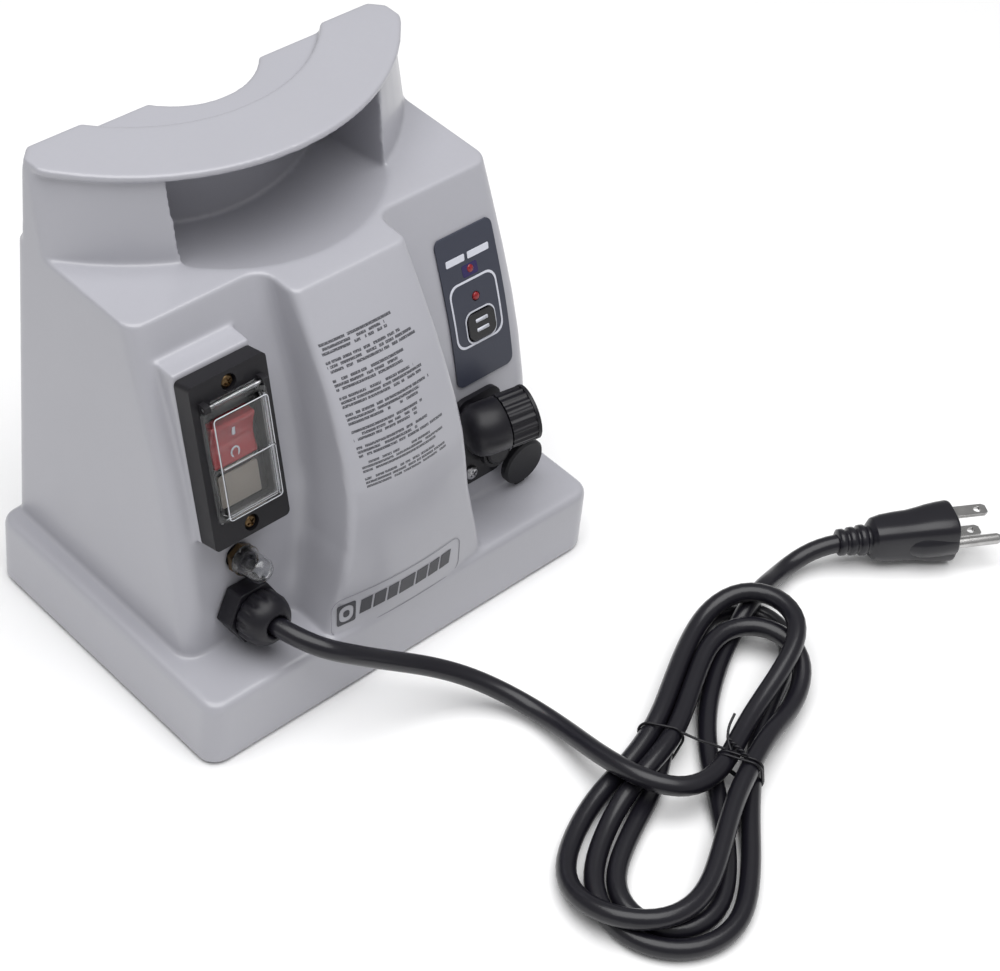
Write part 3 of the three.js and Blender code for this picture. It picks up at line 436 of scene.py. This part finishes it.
def soft_light(name, at, towards, size, power, colour=(1, 1, 1)):
    data = bpy.data.lights.new(name, "AREA")
    data.shape = "RECTANGLE"
    data.size, data.size_y = size
    data.energy = power
    data.color = colour
    lamp = bpy.data.objects.new(name, data)
    bpy.context.scene.collection.objects.link(lamp)
    lamp.location = at
    lamp.rotation_euler = (Vector(at) - Vector(towards)).to_track_quat("Z", "Y").to_euler()


def make_studio():
    soft_light("overhead", (-0.1, -0.2, 1.5), (0.02, -0.04, 0.05), (1.7, 1.5), 28)
    soft_light("left_fill", (-1.5, 0.1, 0.7), (0, 0, 0.1), (0.9, 1.2), 0.15)
    soft_light("front_fill", (0.5, -1.6, 0.9), (0, 0, 0.08), (1.2, 0.9), 0.3)
    world = bpy.data.worlds.new("studio")
    world.use_nodes = True
    sky = world.node_tree.nodes["Background"]
    sky.inputs["Color"].default_value = (1, 1, 1, 1)
    sky.inputs["Strength"].default_value = 0.34
    bpy.context.scene.world = world
    view = bpy.context.scene.view_settings
    view.view_transform = "Standard"
    view.look = "None"
    f = Finish("floor_sweep")
    f.put("Base Color", f.mix(f.between(f.noise(3, 3), 0.3, 0.7), (0.95, 0.95, 0.953), (0.965, 0.965, 0.968)))
    f.put("Roughness", f.between(f.noise(8, 2), 0.3, 0.7, 0.75, 0.9))
    half = 3500
    corners = [(-half, -half, 0), (half, -half, 0), (half, half, 0), (-half, half, 0)]
    floor = new_mesh("floor", corners, [(0, 1, 2, 3)])
    floor.location.z = -0.0002
    dress(floor, f.material)


make_camera()
make_studio()


def finished(piece, material, body):
    """The piece with its material and the body it rides on."""
    dress(piece, material)
    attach(piece, body)
    return piece


# ---- Supply cord --------------------------------------------------------
# The hank lies at an angle: rows are (along it, across it, height).
HANK_AT, HANK_TURN = (54, -189), 28.8
LEAD = [(-60.5, -71, 48.6), (-57.5, -80, 48), (-49.5, -83.6, 44.5), (-38, -87, 36.5), (-25.5, -90.5, 29),
        (-11.5, -96.5, 21.5), (0.5, -105, 14.8), (9.2, -115, 9), (14.2, -126, 6.2), (15.8, -136, 6.2),
        (14.9, -150, 9.4), (12.9, -165, 13.6)]
OVER_HANK = [(-32.4, 25.5, 17.6), (-34, 15.5, 17.4), (-31, 6, 15.6), (-23.5, -1.2, 13.6), (-12, -5.6, 12.6),
             (1, -7.4, 12.2), (15, -8.8, 12.2), (29, -11.6, 13.2), (43, -15.4, 16.6)]
# Fold: centre along and across, radius, heights round it, then the pass to the next fold.
FOLDS = [
    ((61, 2, 20.5), (20.8, 21.2, 21, 20.6, 19, 15.6, 12.8),
     [(44, 24.4, 11.6), (22, 24.6, 11.3), (2, 24.8, 11.3), (-18, 29, 9), (-40, 37.6, 5)]),
    ((-69, 12.4, 27.6), (4.3, 5.6, 10, 12.4, 12.4, 12.3, 12),
     [(-46, -15, 12), (-28, -14, 12), (-12, -15.2, 12.2), (4, -17, 12.2), (18, -19.6, 10.8),
      (33, -23.6, 7.4)]),
    ((49.5, -4.4, 20.5), (9.5, 12, 12.4, 12.6, 12.8, 12.4, 11.6),
     [(32, 16.4, 11.2), (14, 16.2, 11.4), (-3, 16.6, 12), (-18, 20.4, 12.2), (-30, 25, 9.4),
      (-43, 28.4, 5.4)]),
    ((-69, -1, 29.8), (4.2,) * 7,
     [(-46, -27, 4.2), (-26, -21.6, 4.2), (-8, -17.8, 4.2), (10, -14.6, 4.2), (30, -14, 4.2),
      (48, -15.6, 4.2)]),
    ((65.5, 3.4, 20), (4.2,) * 7,
     [(44, 20.8, 4.2), (24, 20.6, 4.2), (4, 20, 4.2), (-14, 18, 4.2), (-28, 17.4, 4.2), (-44, 19.4, 4.2)]),
    ((-69.5, -0.6, 21), (4.2,) * 7,
     [(-56, -20, 4.2), (-43, -16.6, 4.2), (-30, -11.4, 4.2), (-17, -5.8, 4.2)]),
]
OUT_OF_HANK = [(-4, 0.4, 4.2), (10, 5.2, 4.2), (24, 8.4, 4.2), (38, 9.6, 4.2), (52, 10, 4.2), (62, 9.6, 4.4),
               (72, 8, 7), (82, 5.6, 13), (92, 2.8, 13), (102, 0.4, 8), (111.5, -1.8, 5)]
TAIL = [(160.5, -136.9, 7.4)]


def hank_point(row):
    a = math.radians(HANK_TURN)
    s, c = math.sin(a), math.cos(a)
    return Vector((HANK_AT[0] + c * row[0] - s * row[1], HANK_AT[1] + s * row[0] + c * row[1], row[2]))


def plug_axis():
    a = math.radians(PLUG_TURN)
    return Vector((math.cos(a), math.sin(a), 0))


def gland_point(lz):
    return (GLAND @ Vector((0, 0, lz))) / MM


def cord_route():
    points = [gland_point(10), gland_point(22)] + [Vector(p) for p in LEAD]
    points += [hank_point(p) for p in OVER_HANK]
    for number, ((cu, cv, r), heights, passing) in enumerate(FOLDS):
        start = -80 if number % 2 == 0 else 100
        for k, z in enumerate(heights):
            a = math.radians(start + 160 * k / (len(heights) - 1))
            points.append(hank_point((cu + r * math.cos(a), cv + r * math.sin(a), z)))
        points += [hank_point(p) for p in passing]
    points += [hank_point(p) for p in OUT_OF_HANK] + [Vector(p) for p in TAIL]
    plug = Vector(PLUG_AT)
    d = plug_axis()
    return points + [plug - d * 58.5 - Vector((0, 0, 0.2)), plug - d * 50, plug - d * 44]


def through(points, steps=8):
    """Centripetal curve through the points, as close samples."""
    pts = [2 * points[0] - points[1], *points, 2 * points[-1] - points[-2]]
    out = []
    for i in range(1, len(pts) - 2):
        p0, p1, p2, p3 = pts[i - 1:i + 3]
        t0, t1, t2 = ((b - a).length ** 0.5 for a, b in ((p0, p1), (p1, p2), (p2, p3)))
        m1 = (p2 - p1) + t1 * ((p1 - p0) / t0 - (p2 - p0) / (t0 + t1))
        m2 = (p2 - p1) + t1 * ((p3 - p2) / t2 - (p3 - p1) / (t1 + t2))
        for k in range(steps):
            t = k / steps
            out.append((2 * t ** 3 - 3 * t * t + 1) * p1 + (t ** 3 - 2 * t * t + t) * m1
                       + (3 * t * t - 2 * t ** 3) * p2 + (t ** 3 - t * t) * m2)
    return out + [points[-1]]


def evenly(points, step):
    """The same line with evenly spaced points."""
    p = np.array([tuple(q) for q in points])
    at = np.r_[0, np.cumsum(np.linalg.norm(np.diff(p, axis=0), axis=1))]
    t = np.linspace(0, at[-1], int(at[-1] / step) + 1)
    return np.stack([np.interp(t, at, p[:, k]) for k in range(3)], 1)


def relaxed_route():
    line = evenly(through(cord_route()), 4)
    for _ in range(9):
        line[1:-1] = (line[:-2] + 2 * line[1:-1] + line[2:]) / 4
    line[:, 2] = np.maximum(line[:, 2], CORD_RADIUS + 0.1)
    return line


def curve_piece(name, line, radius, resolution=6):
    data = bpy.data.curves.new(name, "CURVE")
    data.dimensions = "3D"
    data.bevel_depth = radius * MM
    data.bevel_resolution = resolution
    data.use_fill_caps = True
    spline = data.splines.new("POLY")
    spline.points.add(len(line) - 1)
    for point, p in zip(spline.points, line):
        point.co = (p[0] * MM, p[1] * MM, p[2] * MM, 1)
    spline.use_smooth = True
    piece = bpy.data.objects.new(name, data)
    bpy.context.scene.collection.objects.link(piece)
    return piece


def plug_ring(z, w, h, power, dx=0.0, dy=0.0, n=40):
    """Super-ellipse section of the plug, w along local X (up) and h along local Y."""
    ring = []
    for i in range(n):
        a = 2 * math.pi * i / n
        c, s = math.cos(a), math.sin(a)
        ring.append((dx + w / 2 * math.copysign(abs(c) ** (2 / power), c),
                     dy + h / 2 * math.copysign(abs(s) ** (2 / power), s), z))
    return ring


def plug_matrix():
    d = plug_axis()
    return along(d, (0, 0, 1), PLUG_AT)


def make_plug():
    """Moulded plug: ribbed relief, square-shouldered grip and a round boss on the earth side."""
    m = plug_matrix()
    grip = [(-38.4, 11, 10, 2.2), (-37.8, 14.4, 13, 2.4), (-36.2, 17.6, 15.6, 2.8), (-32, 19.2, 17, 3),
            (-26, 19.9, 17.8, 3.1), (-20, 20.3, 18.2, 3.1), (-15, 21.4, 19.3, 3.2),
            (-11, 22.8, 20.6, 3.2), (-6, 23.6, 21.6, 3.3),
            (-1.6, 24, 22.2, 3.3), (-0.4, 23.4, 21.6, 3.3), (0, 22.2, 20.4, 3.2)]
    body = rings_mesh("plug_body_moulded", [plug_ring(*row) for row in grip], m)
    profile = [(0, -52.3), (4.6, -52.3), (5.1, -51.9)]
    for rib, waist, z in ((5.8, 5, -49), (6.2, 5.4, -44.4), (6.7, 5.8, -39.8)):
        profile += [(rib - 0.1, z - 2.6), (rib, z - 1.6), (rib, z - 0.5), (rib - 0.3, z),
                    (waist, z + 0.3), (waist, z + 1.3), (waist + 0.5, z + 1.6)]
    relief = lathe("plug_relief", profile + [(6.9, -36.5), (6.9, -36), (0, -36)], 40, m)
    boss = [(0, -25), (2.4, -24.4), (4.2, -22.8), (5.8, -20), (7, -16.5), (7.5, -12), (7.6, -8),
            (7.6, -1), (7.2, -0.3), (6.6, 0), (0, 0)]
    earth = lathe("plug_earth_boss", boss, 48, m @ Matrix.Translation((0, 4.4, 0)))
    for piece in (body, relief, earth):
        finished(piece, VINYL, "unit")
    softened(body, 0.5)
    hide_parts("plug_body")
    metal_parts = [NODES[n] for n in ("plug_blade_upper", "plug_blade_lower", "plug_ground_pin")]
    for piece in metal_parts:
        softened(dress(piece, NICKEL), 0.25)
    return [body, relief, earth, *metal_parts]


def tie_loop(strands, turn, twist=0.0):
    """Closed wire loop drawn tight round strands, given as (across, height), square to the hank."""
    reach = CORD_RADIUS + 0.5
    spots = sorted((v + reach * math.cos(a), z + reach * math.sin(a)) for v, z in strands
                   for a in (2 * math.pi * k / 24 for k in range(24)))

    def chain(points):
        kept = []
        for p in points:
            while len(kept) > 1 and ((kept[-1][0] - kept[-2][0]) * (p[1] - kept[-2][1])
                                     - (kept[-1][1] - kept[-2][1]) * (p[0] - kept[-2][0])) <= 0:
                kept.pop()
            kept.append(p)
        return kept[:-1]

    hull = chain(spots) + chain(spots[::-1])
    middle = sum(p[1] for p in hull) / len(hull)
    return [hank_point((turn + twist * (z - middle) / 8, v, max(z, 0.6))) for v, z in hull + hull[:1]]


def make_tie():
    left_strands = (26, 10.9), (17, 12), (19, 4.2)
    right_strands = (-6.5, 12.3), (-16, 12.2), (-17.3, 4.2)
    bridge = (-3.4, 14, 16.2), (-3.8, 7, 15.4), (-4.6, 1, 16), (-5.6, -4.4, 16.7)
    tail = (-6.2, -7, 17.4), (-2, -4.4, 18.6), (3, -3.4, 20.4), (8, -4, 23)
    lines = {
        "tie_left": tie_loop(left_strands, -4, 1.5),
        "tie_right": tie_loop(right_strands, -7, -1.5),
        "tie_right_second": tie_loop(right_strands, -5.6, -0.8),
        "tie_bridge": through([hank_point(p) for p in bridge]),
        "tie_tail": through([hank_point(p) for p in tail]),
    }
    knot = []
    for k in range(40):
        a = 2 * math.pi * k / 9
        t = k / 39
        base = hank_point((-6.6 + 5 * t, -13 + 8 * t, 17.4 + 0.3 * t))
        knot.append(base + Vector((0.6 * math.cos(a), -0.6 * math.cos(a), 0.8 * math.sin(a))))
    lines["tie_knot"] = knot
    pieces = []
    for name, line in lines.items():
        piece = curve_piece(name, [tuple(p) for p in line], 0.55, 3)
        dress_curve(piece, BLACK)
        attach(piece, "unit")
        pieces.append(piece)
    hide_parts("cord_tie")
    return pieces


def dress_curve(piece, material):
    piece.data.materials.clear()
    piece.data.materials.append(material)
    return piece


def make_cord():
    line = relaxed_route()
    cord = curve_piece("supply_cord", line, CORD_RADIUS, 8)
    dress_curve(cord, VINYL)
    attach(cord, "unit")
    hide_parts("cord_lead", "cord_hank", "cord_tail")
    on_it = make_plug() + make_tie()


make_cord()


# ---- Moulded housing ----------------------------------------------------
VOXEL = 0.78
KEEP_TRIANGLES = 185_000


def edge_samples(bm, angle, step):
    """Points along the edges that turn by more than the angle."""
    found = []
    for e in bm.edges:
        if len(e.link_faces) == 2 and e.calc_face_angle(0) > angle:
            a, b = (v.co for v in e.verts)
            count = max(1, int((b - a).length / step))
            found += [a.lerp(b, k / count) for k in range(count + 1)]
    return found


def smoothed(co, edges, weight, rounds, share=0.5):
    """Moves each point towards the mean of its neighbours."""
    a, b = edges[:, 0], edges[:, 1]
    n = len(co)
    count = np.bincount(a, minlength=n) + np.bincount(b, minlength=n)
    for _ in range(rounds):
        mean = np.stack([np.bincount(a, co[b, k], n) + np.bincount(b, co[a, k], n) for k in range(3)], 1)
        co = co + share * weight[:, None] * (mean / count[:, None] - co)
    return co


def make_housing():
    """The CAD shell with moulded radii on its edges and its broad faces faired."""
    source = NODES["upper_housing"]
    shell = bpy.data.objects.new("housing_shell", source.data.copy())
    bpy.context.scene.collection.objects.link(shell)
    bm = bmesh.new()
    bm.from_mesh(shell.data)
    bmesh.ops.remove_doubles(bm, verts=bm.verts, dist=1e-6)
    bm.to_mesh(shell.data)
    sharp = edge_samples(bm, math.radians(10), 1.0 * MM)
    bm.free()
    tree = KDTree(len(sharp))
    for i, p in enumerate(sharp):
        tree.insert(p, i)
    tree.balance()
    remesh = shell.modifiers.new("skin", "REMESH")
    remesh.mode = "VOXEL"
    remesh.voxel_size = VOXEL * MM
    remesh.use_smooth_shade = True
    applied(shell)
    mesh = shell.data
    co = np.zeros(len(mesh.vertices) * 3)
    mesh.vertices.foreach_get("co", co)
    co = co.reshape(-1, 3)
    pairs = np.zeros(len(mesh.edges) * 2, np.int32)
    mesh.edges.foreach_get("vertices", pairs)
    pairs = pairs.reshape(-1, 2)
    reach = np.array([tree.find(p)[2] for p in co]) / MM
    co = smoothed(co, pairs, np.ones(len(co)), 6)
    co = smoothed(co, pairs, np.clip((reach - 3) / 5, 0, 1), 50)
    mesh.vertices.foreach_set("co", co.ravel())
    mesh.update()
    triangles = 2 * len(mesh.polygons)
    if triangles > KEEP_TRIANGLES:
        thin = shell.modifiers.new("thin", "DECIMATE")
        thin.ratio = KEEP_TRIANGLES / triangles
        applied(shell)
    for face in shell.data.polygons:
        face.use_smooth = True
    even = shell.modifiers.new("even_shading", "WEIGHTED_NORMAL")
    even.mode = "FACE_AREA"
    even.weight = 60
    even.keep_sharp = False
    dress(shell, HOUSING)
    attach(shell, "unit")
    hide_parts("upper_housing")


make_housing()


# ---- Thin printed and applied details -----------------------------------
def dense(outline, step=2.0):
    """The closed outline with extra points along its long sides."""
    out = []
    for (x0, z0), (x1, z1) in zip(outline, outline[1:] + outline[:1]):
        count = max(1, int(math.hypot(x1 - x0, z1 - z0) / step))
        out += [(x0 + (x1 - x0) * k / count, z0 + (z1 - z0) * k / count) for k in range(count)]
    return out


def print_band(name, outer, inner, lift, face, thick=0.12):
    """Closed printed line between two outlines in (x, z), following a face."""
    n = len(outer)
    low = [(x, face(x, z) - lift, z) for x, z in outer + inner]
    high = [(x, face(x, z) - lift - thick, z) for x, z in outer + inner]
    faces = []
    for i in range(n):
        j = (i + 1) % n
        faces += [(i, j, n + j, n + i), (2 * n + i, 3 * n + i, 3 * n + j, 2 * n + j),
                  (i, 2 * n + i, 2 * n + j, j), (n + i, n + j, 3 * n + j, 3 * n + i)]
    return new_mesh(name, low + high, faces, smooth=False)


def print_patch(name, outline, lift, face, thick=0.12):
    """Solid printed patch inside an outline in (x, z), following a face."""
    n = len(outline)
    low = [(x, face(x, z) - lift, z) for x, z in outline]
    high = [(x, face(x, z) - lift - thick, z) for x, z in outline]
    faces = [tuple(range(n)), tuple(range(2 * n - 1, n - 1, -1))]
    faces += [(i, (i + 1) % n, n + (i + 1) % n, n + i) for i in range(n)]
    return new_mesh(name, low + high, faces, smooth=False)


def side_face(_, z):
    return front_y(z)


def make_overlay_print():
    """Lines, heading bars and lamp window on the control overlay."""
    lift = 1.02
    for name, (x, z), w, h, r, line in (("overlay_box_line", (66, 117.3), 25, 26.4, 4.6, 0.8),
                                        ("button_line", BUTTON, 16, 13.4, 4, 0.55)):
        outer = dense(rounded_outline(w, h, r, x, z))
        inner = [(x + (p - x) * (1 - 2 * line / w), z + (q - z) * (1 - 2 * line / h)) for p, q in outer]
        finished(print_band(name, outer, inner, lift, side_face), MARK, "unit")
    for k, (x, w) in enumerate(((59.8, 9.8), (72, 11.4))):
        bar = [(p[0] + 0.12 * (p[1] - 139.3), p[1]) for p in rounded_outline(w, 2.6, 0.5, x, 139.3)]
        finished(print_patch(f"heading_bar_{k + 1}", bar, lift, side_face), MARK, "unit")
    window = rounded_outline(8, 4.6, 0.8, LED_POWER[0] - 0.2, LED_POWER[1] + 0.1)
    finished(print_patch("power_window", window, 1.0, side_face), WINDOW, "unit")


def make_button_marks():
    m = control_frame(BUTTON)
    for k, y in enumerate((2.2, -1.8)):
        outline = rounded_outline(6.4, 1.5, 0.4, 0, y)
        rings = [[(x, v, z) for x, v in outline] for z in (1.86, 2.02)]
        finished(rings_mesh(f"button_mark_{k + 1}", rings, m), MARK, "panel_button")


def make_label():
    """Label on the foot of the centre panel: thin border, plain emblem and a row of blocks."""
    f = Finish("label_edge")
    tone = f.between(f.noise(40, 3), 0.3, 0.7)
    f.put("Base Color", f.mix(tone, linear(140, 140, 147), linear(150, 150, 157)))
    f.put("Roughness", f.between(f.noise(120, 3), 0.3, 0.7, 0.14, 0.24))
    outer = dense(rounded_outline(66, 19, 5, -7.5, 40.5, 8))
    inner = [(-7.5 + (p + 7.5) * 0.99, 40.5 + (q - 40.5) * 0.965) for p, q in outer]
    border = print_band("label_border", outer, inner, 0.05, panel_y, 0.1)
    finished(border, f.material, "unit")
    square, hollow = rounded_outline(8.6, 10.4, 1, -33.6, 41.6), rounded_outline(6.6, 8.2, 3, -33.6, 41.6)
    finished(print_band("emblem_frame", square, hollow, 0.05, panel_y, 0.1), INK, "unit")
    dot = rounded_outline(2.8, 3.4, 1.2, -33.6, 41.6)
    finished(print_patch("emblem_dot", dot, 0.05, panel_y, 0.1), INK, "unit")
    x = -27.4
    for k, w in enumerate((5.4, 5.8, 5, 7.4, 5.8, 5.2, 5.4)):
        block = [(x, 38.4), (x + w, 38.6), (x + w + 0.7, 45.6), (x + 0.7, 45.4)]
        finished(print_patch(f"name_block_{k + 1}", block, 0.05, panel_y, 0.1), INK, "unit")
        x += w + 1.1


make_overlay_print()
make_button_marks()
make_label()


# ---- Switch, cover and rocker -------------------------------------------
def make_rocker():
    """Rocker with two dished halves and its moulded marks."""
    half, width, lean = ROCKER["half"], ROCKER["width"], math.radians(ROCKER["lean"])
    m = SWITCH @ Matrix.Translation((0, ROCKER["ly"], ROCKER["lz"])) @ Matrix.Rotation(lean, 4, "X")
    rings = []
    for side in (-1, -0.94, 0.94, 1):
        edge = 0.45 if abs(side) == 1 else 0
        profile = [(-half + edge, -3.2), (half - edge, -3.2), (half - edge, 4.8 - edge),
                   (half - 0.5, 5.4 - edge), (half - 1.4, 5.5 - edge)]
        for k in range(11):
            t = k / 10
            y = (half - 2.2) * (1 - 2 * t)
            profile.append((y, 3.75 - edge + 1.55 * abs(1 - 2 * t) ** 1.6))
        profile += [(-half + 1.4, 5.5 - edge), (-half + 0.5, 5.4 - edge), (-half + edge, 4.8 - edge)]
        rings.append([(side * width / 2, y, z) for y, z in profile])
    body = finished(rings_mesh("rocker_moulded", rings, m), RED, "rocker")
    softened(body, 0.3)
    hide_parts("rocker")
    bar = [[(x, y, z) for x, y in rounded_outline(1.3, 4.8, 0.4, 0, 5)] for z in (4.4, 4.95)]
    finished(rings_mesh("rocker_on_mark", bar, m), MARK, "rocker")
    ring = []
    for a in range(32):
        t = 2 * math.pi * a / 32
        ring.append((1.8 * math.cos(t), -5.1 + 2.2 * math.sin(t), 4.85))
    mark = curve_piece("rocker_off_mark", [tuple((m @ Vector(p)) / MM) for p in ring + ring[:1]], 0.35, 2)
    dress_curve(mark, MARK)
    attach(mark, "rocker")


def cross_screw(name, matrix, radius, height, body="unit"):
    """Domed screw head with a cross recess."""
    dome = [(0, height), (radius * 0.35, height * 0.98), (radius * 0.7, height * 0.8),
            (radius * 0.93, height * 0.45), (radius, height * 0.15), (radius, -0.4), (0, -0.4)]
    head = lathe(name, dome, 40, matrix)
    arm, cut = radius * 0.62, radius * 0.17
    outline = [(cut, cut), (arm, cut), (arm, -cut), (cut, -cut), (cut, -arm), (-cut, -arm), (-cut, -cut),
               (-arm, -cut), (-arm, cut), (-cut, cut), (-cut, arm), (cut, arm)]
    turn = Matrix.Rotation(math.radians(24), 4, "Z")
    levels = [[(x, y, z) for x, y in reversed(outline)] for z in (height * 0.35, height + 1)]
    tool = rings_mesh(name + "_cut", levels, matrix @ turn)
    cutter = head.modifiers.new("recess", "BOOLEAN")
    cutter.operation = "DIFFERENCE"
    cutter.object = tool
    cutter.solver = "EXACT"
    applied(head)
    bpy.data.objects.remove(tool)
    for face in head.data.polygons:
        face.use_smooth = False
    finished(head, STEEL, body)
    return head


def make_cover_highlights():
    """Pale strips along the clear cover's rim, crest and foot: painted highlights standing in for the light
    these edges catch.
    """
    ring = [(x, y, COVER_TOP - 0.15) for x, y in rounded_outline(24.9, 43.3, 1.4, 0, -0.1)]
    crest = [(x, 0.5, COVER_TOP + 0.35) for x in (-11.6, -4, 4, 11.6)]
    foot = [(x, y, BEZEL_THICK + 1.7) for x, y in ((-12, -22.4), (12.6, -22.4), (12.9, -21.6), (12.9, 20))]
    for name, line in (("cover_rim_highlight", ring + ring[:1]), ("cover_crest_highlight", crest), ("cover_foot_highlight", foot)):
        piece = curve_piece(name, [tuple((SWITCH @ Vector(p)) / MM) for p in line], 0.22, 2)
        dress_curve(piece, COVER_HIGHLIGHT)
        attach(piece, "cover")


def make_switch():
    softened(dress(NODES["switch_bezel"], BEZEL_BLACK), 0.7)
    softened(dress(NODES["switch_body"], GLOSS_BLACK), 0.3)
    softened(dress(NODES["status_plate"], PALE), 0.2)
    softened(dress(NODES["switch_cover"], CLEAR), 0.35)
    make_cover_highlights()
    dress(NODES["cover_pin"], STEEL)
    make_rocker()
    for spot, ly in (("top", 30.3), ("bottom", -30.3)):
        m = SWITCH @ Matrix.Translation((0, ly, BEZEL_THICK - 2.1))
        head = cross_screw(f"bezel_screw_{spot}_head", m, 2.9, 1.6)
        dress(head, BRASS)
        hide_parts(f"bezel_screw_{spot}")


# ---- Breaker, gland, outlet and control panel ---------------------------
def make_breaker():
    softened(dress(NODES["breaker_nut"], BRASS), 0.35)
    softened(dress(NODES["breaker_body"], BLACK), 0.2)
    softened(dress(NODES["breaker_button"], BLACK), 0.3)
    outside = [(5.0, 3.7), (6.0, 3.7), (6.35, 4.1), (6.35, 5.2), (5.7, 5.9), (5.45, 7), (5.35, 13),
               (5.1, 14.8), (4.3, 16.2), (3.2, 16.9), (2.9, 17.25), (2.2, 17.35), (0, 17.1)]
    inside = [(0, 16.2), (2.2, 16.2), (3.7, 15.3), (4.4, 13.4), (4.8, 6), (5.0, 3.7)]
    boot = lathe("breaker_boot_moulded", inside + outside, 48, BREAKER)
    finished(boot, BOOT, "unit")
    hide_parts("breaker_boot")


def make_gland():
    softened(dress(NODES["gland_body"], BLACK), 0.6)
    for name in ("gland_seal", "gland_locknut"):
        softened(dress(NODES[name], RUBBER if name == "gland_seal" else BLACK), 0.3)
    n = 96
    rings = []
    rows = [(9.9, 10.4, 0.3), (10.5, 10.95, 0.9), (14.8, 10.95, 0.9), (15.8, 10.7, 0.5), (17.4, 10.2, 0.1),
            (19, 9.4, 0), (20.4, 8.2, 0), (21.4, 6.9, 0), (21.9, 6, 0),
            (21.9, 5.2, 0), (21.3, 4.4, 0), (16, 4.35, 0)]
    for z, r, flute in rows:
        ring = []
        for i in range(n):
            a = 2 * math.pi * i / n
            rr = r - flute * (0.5 - 0.5 * math.cos(14 * a)) ** 3
            ring.append((rr * math.cos(a), rr * math.sin(a), z))
        rings.append(ring)
    nut = finished(rings_mesh("gland_nut_moulded", rings, GLAND), BLACK, "unit")
    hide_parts("gland_nut")


def make_outlet():
    """Outlet in black plastic, with a full round shoulder behind the collar."""
    barrel = along(BARREL_AXIS, (0, 0, 1), (SOCKET @ Vector(ELBOW)) / MM)
    shoulder = [(0, -10.4), (4.6, -10.1), (8.2, -8.8), (10.2, -6.4), (11.1, -3.2), (11.2, 0), (11.2, 6),
                (10.9, 6.4), (0, 6.4)]
    finished(lathe("socket_shoulder", shoulder, 56, barrel), BLACK, "unit")
    for name, material, width in (("socket_body", BLACK, 0.5), ("socket_collar", BLACK, 0.25),
                                  ("cap_strap", RUBBER, 0.3), ("socket_cap", RUBBER, 0.5)):
        softened(dress(NODES[name], material), width)
    for side, (x, y) in (("left", (-6, -15)), ("right", (-2.4, 0.9))):
        head = cross_screw(f"socket_screw_{side}_head", SOCKET @ Matrix.Translation((x, y, 3.5)), 3.0, 1.7)
        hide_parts(f"socket_screw_{side}")
    for pin in ("a", "b", "c"):
        softened(dress(NODES[f"socket_pin_{pin}"], BRASS), 0.15)


def make_control():
    softened(dress(NODES["control_overlay"], FILM), 0.15)
    softened(dress(NODES["cycle_button"], GLOSS_BLACK), 0.5)
    for name in ("led_power", "led_cycle"):
        softened(dress(NODES[name], LENS), 0.2)
    softened(dress(NODES["control_board"], BOARD), 0.15)


def make_inside_and_foot():
    plain = {
        "bottom_plate": (BLACK, 0.6), "terminal_block": (PALE, 0.4), "capacitor": (STEEL, 0.5),
        "transformer_core": (IRON, 0.3), "transformer_coil": (COIL, 0.8),
        "transformer_bracket": (STEEL, 0.25),
    }
    for front in ("front_left", "front_right", "rear_left", "rear_right"):
        plain[f"foot_{front}"] = (RUBBER, 0.5)
        plain[f"base_screw_{front}"] = (STEEL, 0.2)
    for name, (material, width) in plain.items():
        softened(dress(NODES[name], material), width)


make_switch()
make_breaker()
make_gland()
make_outlet()
make_control()
make_inside_and_foot()
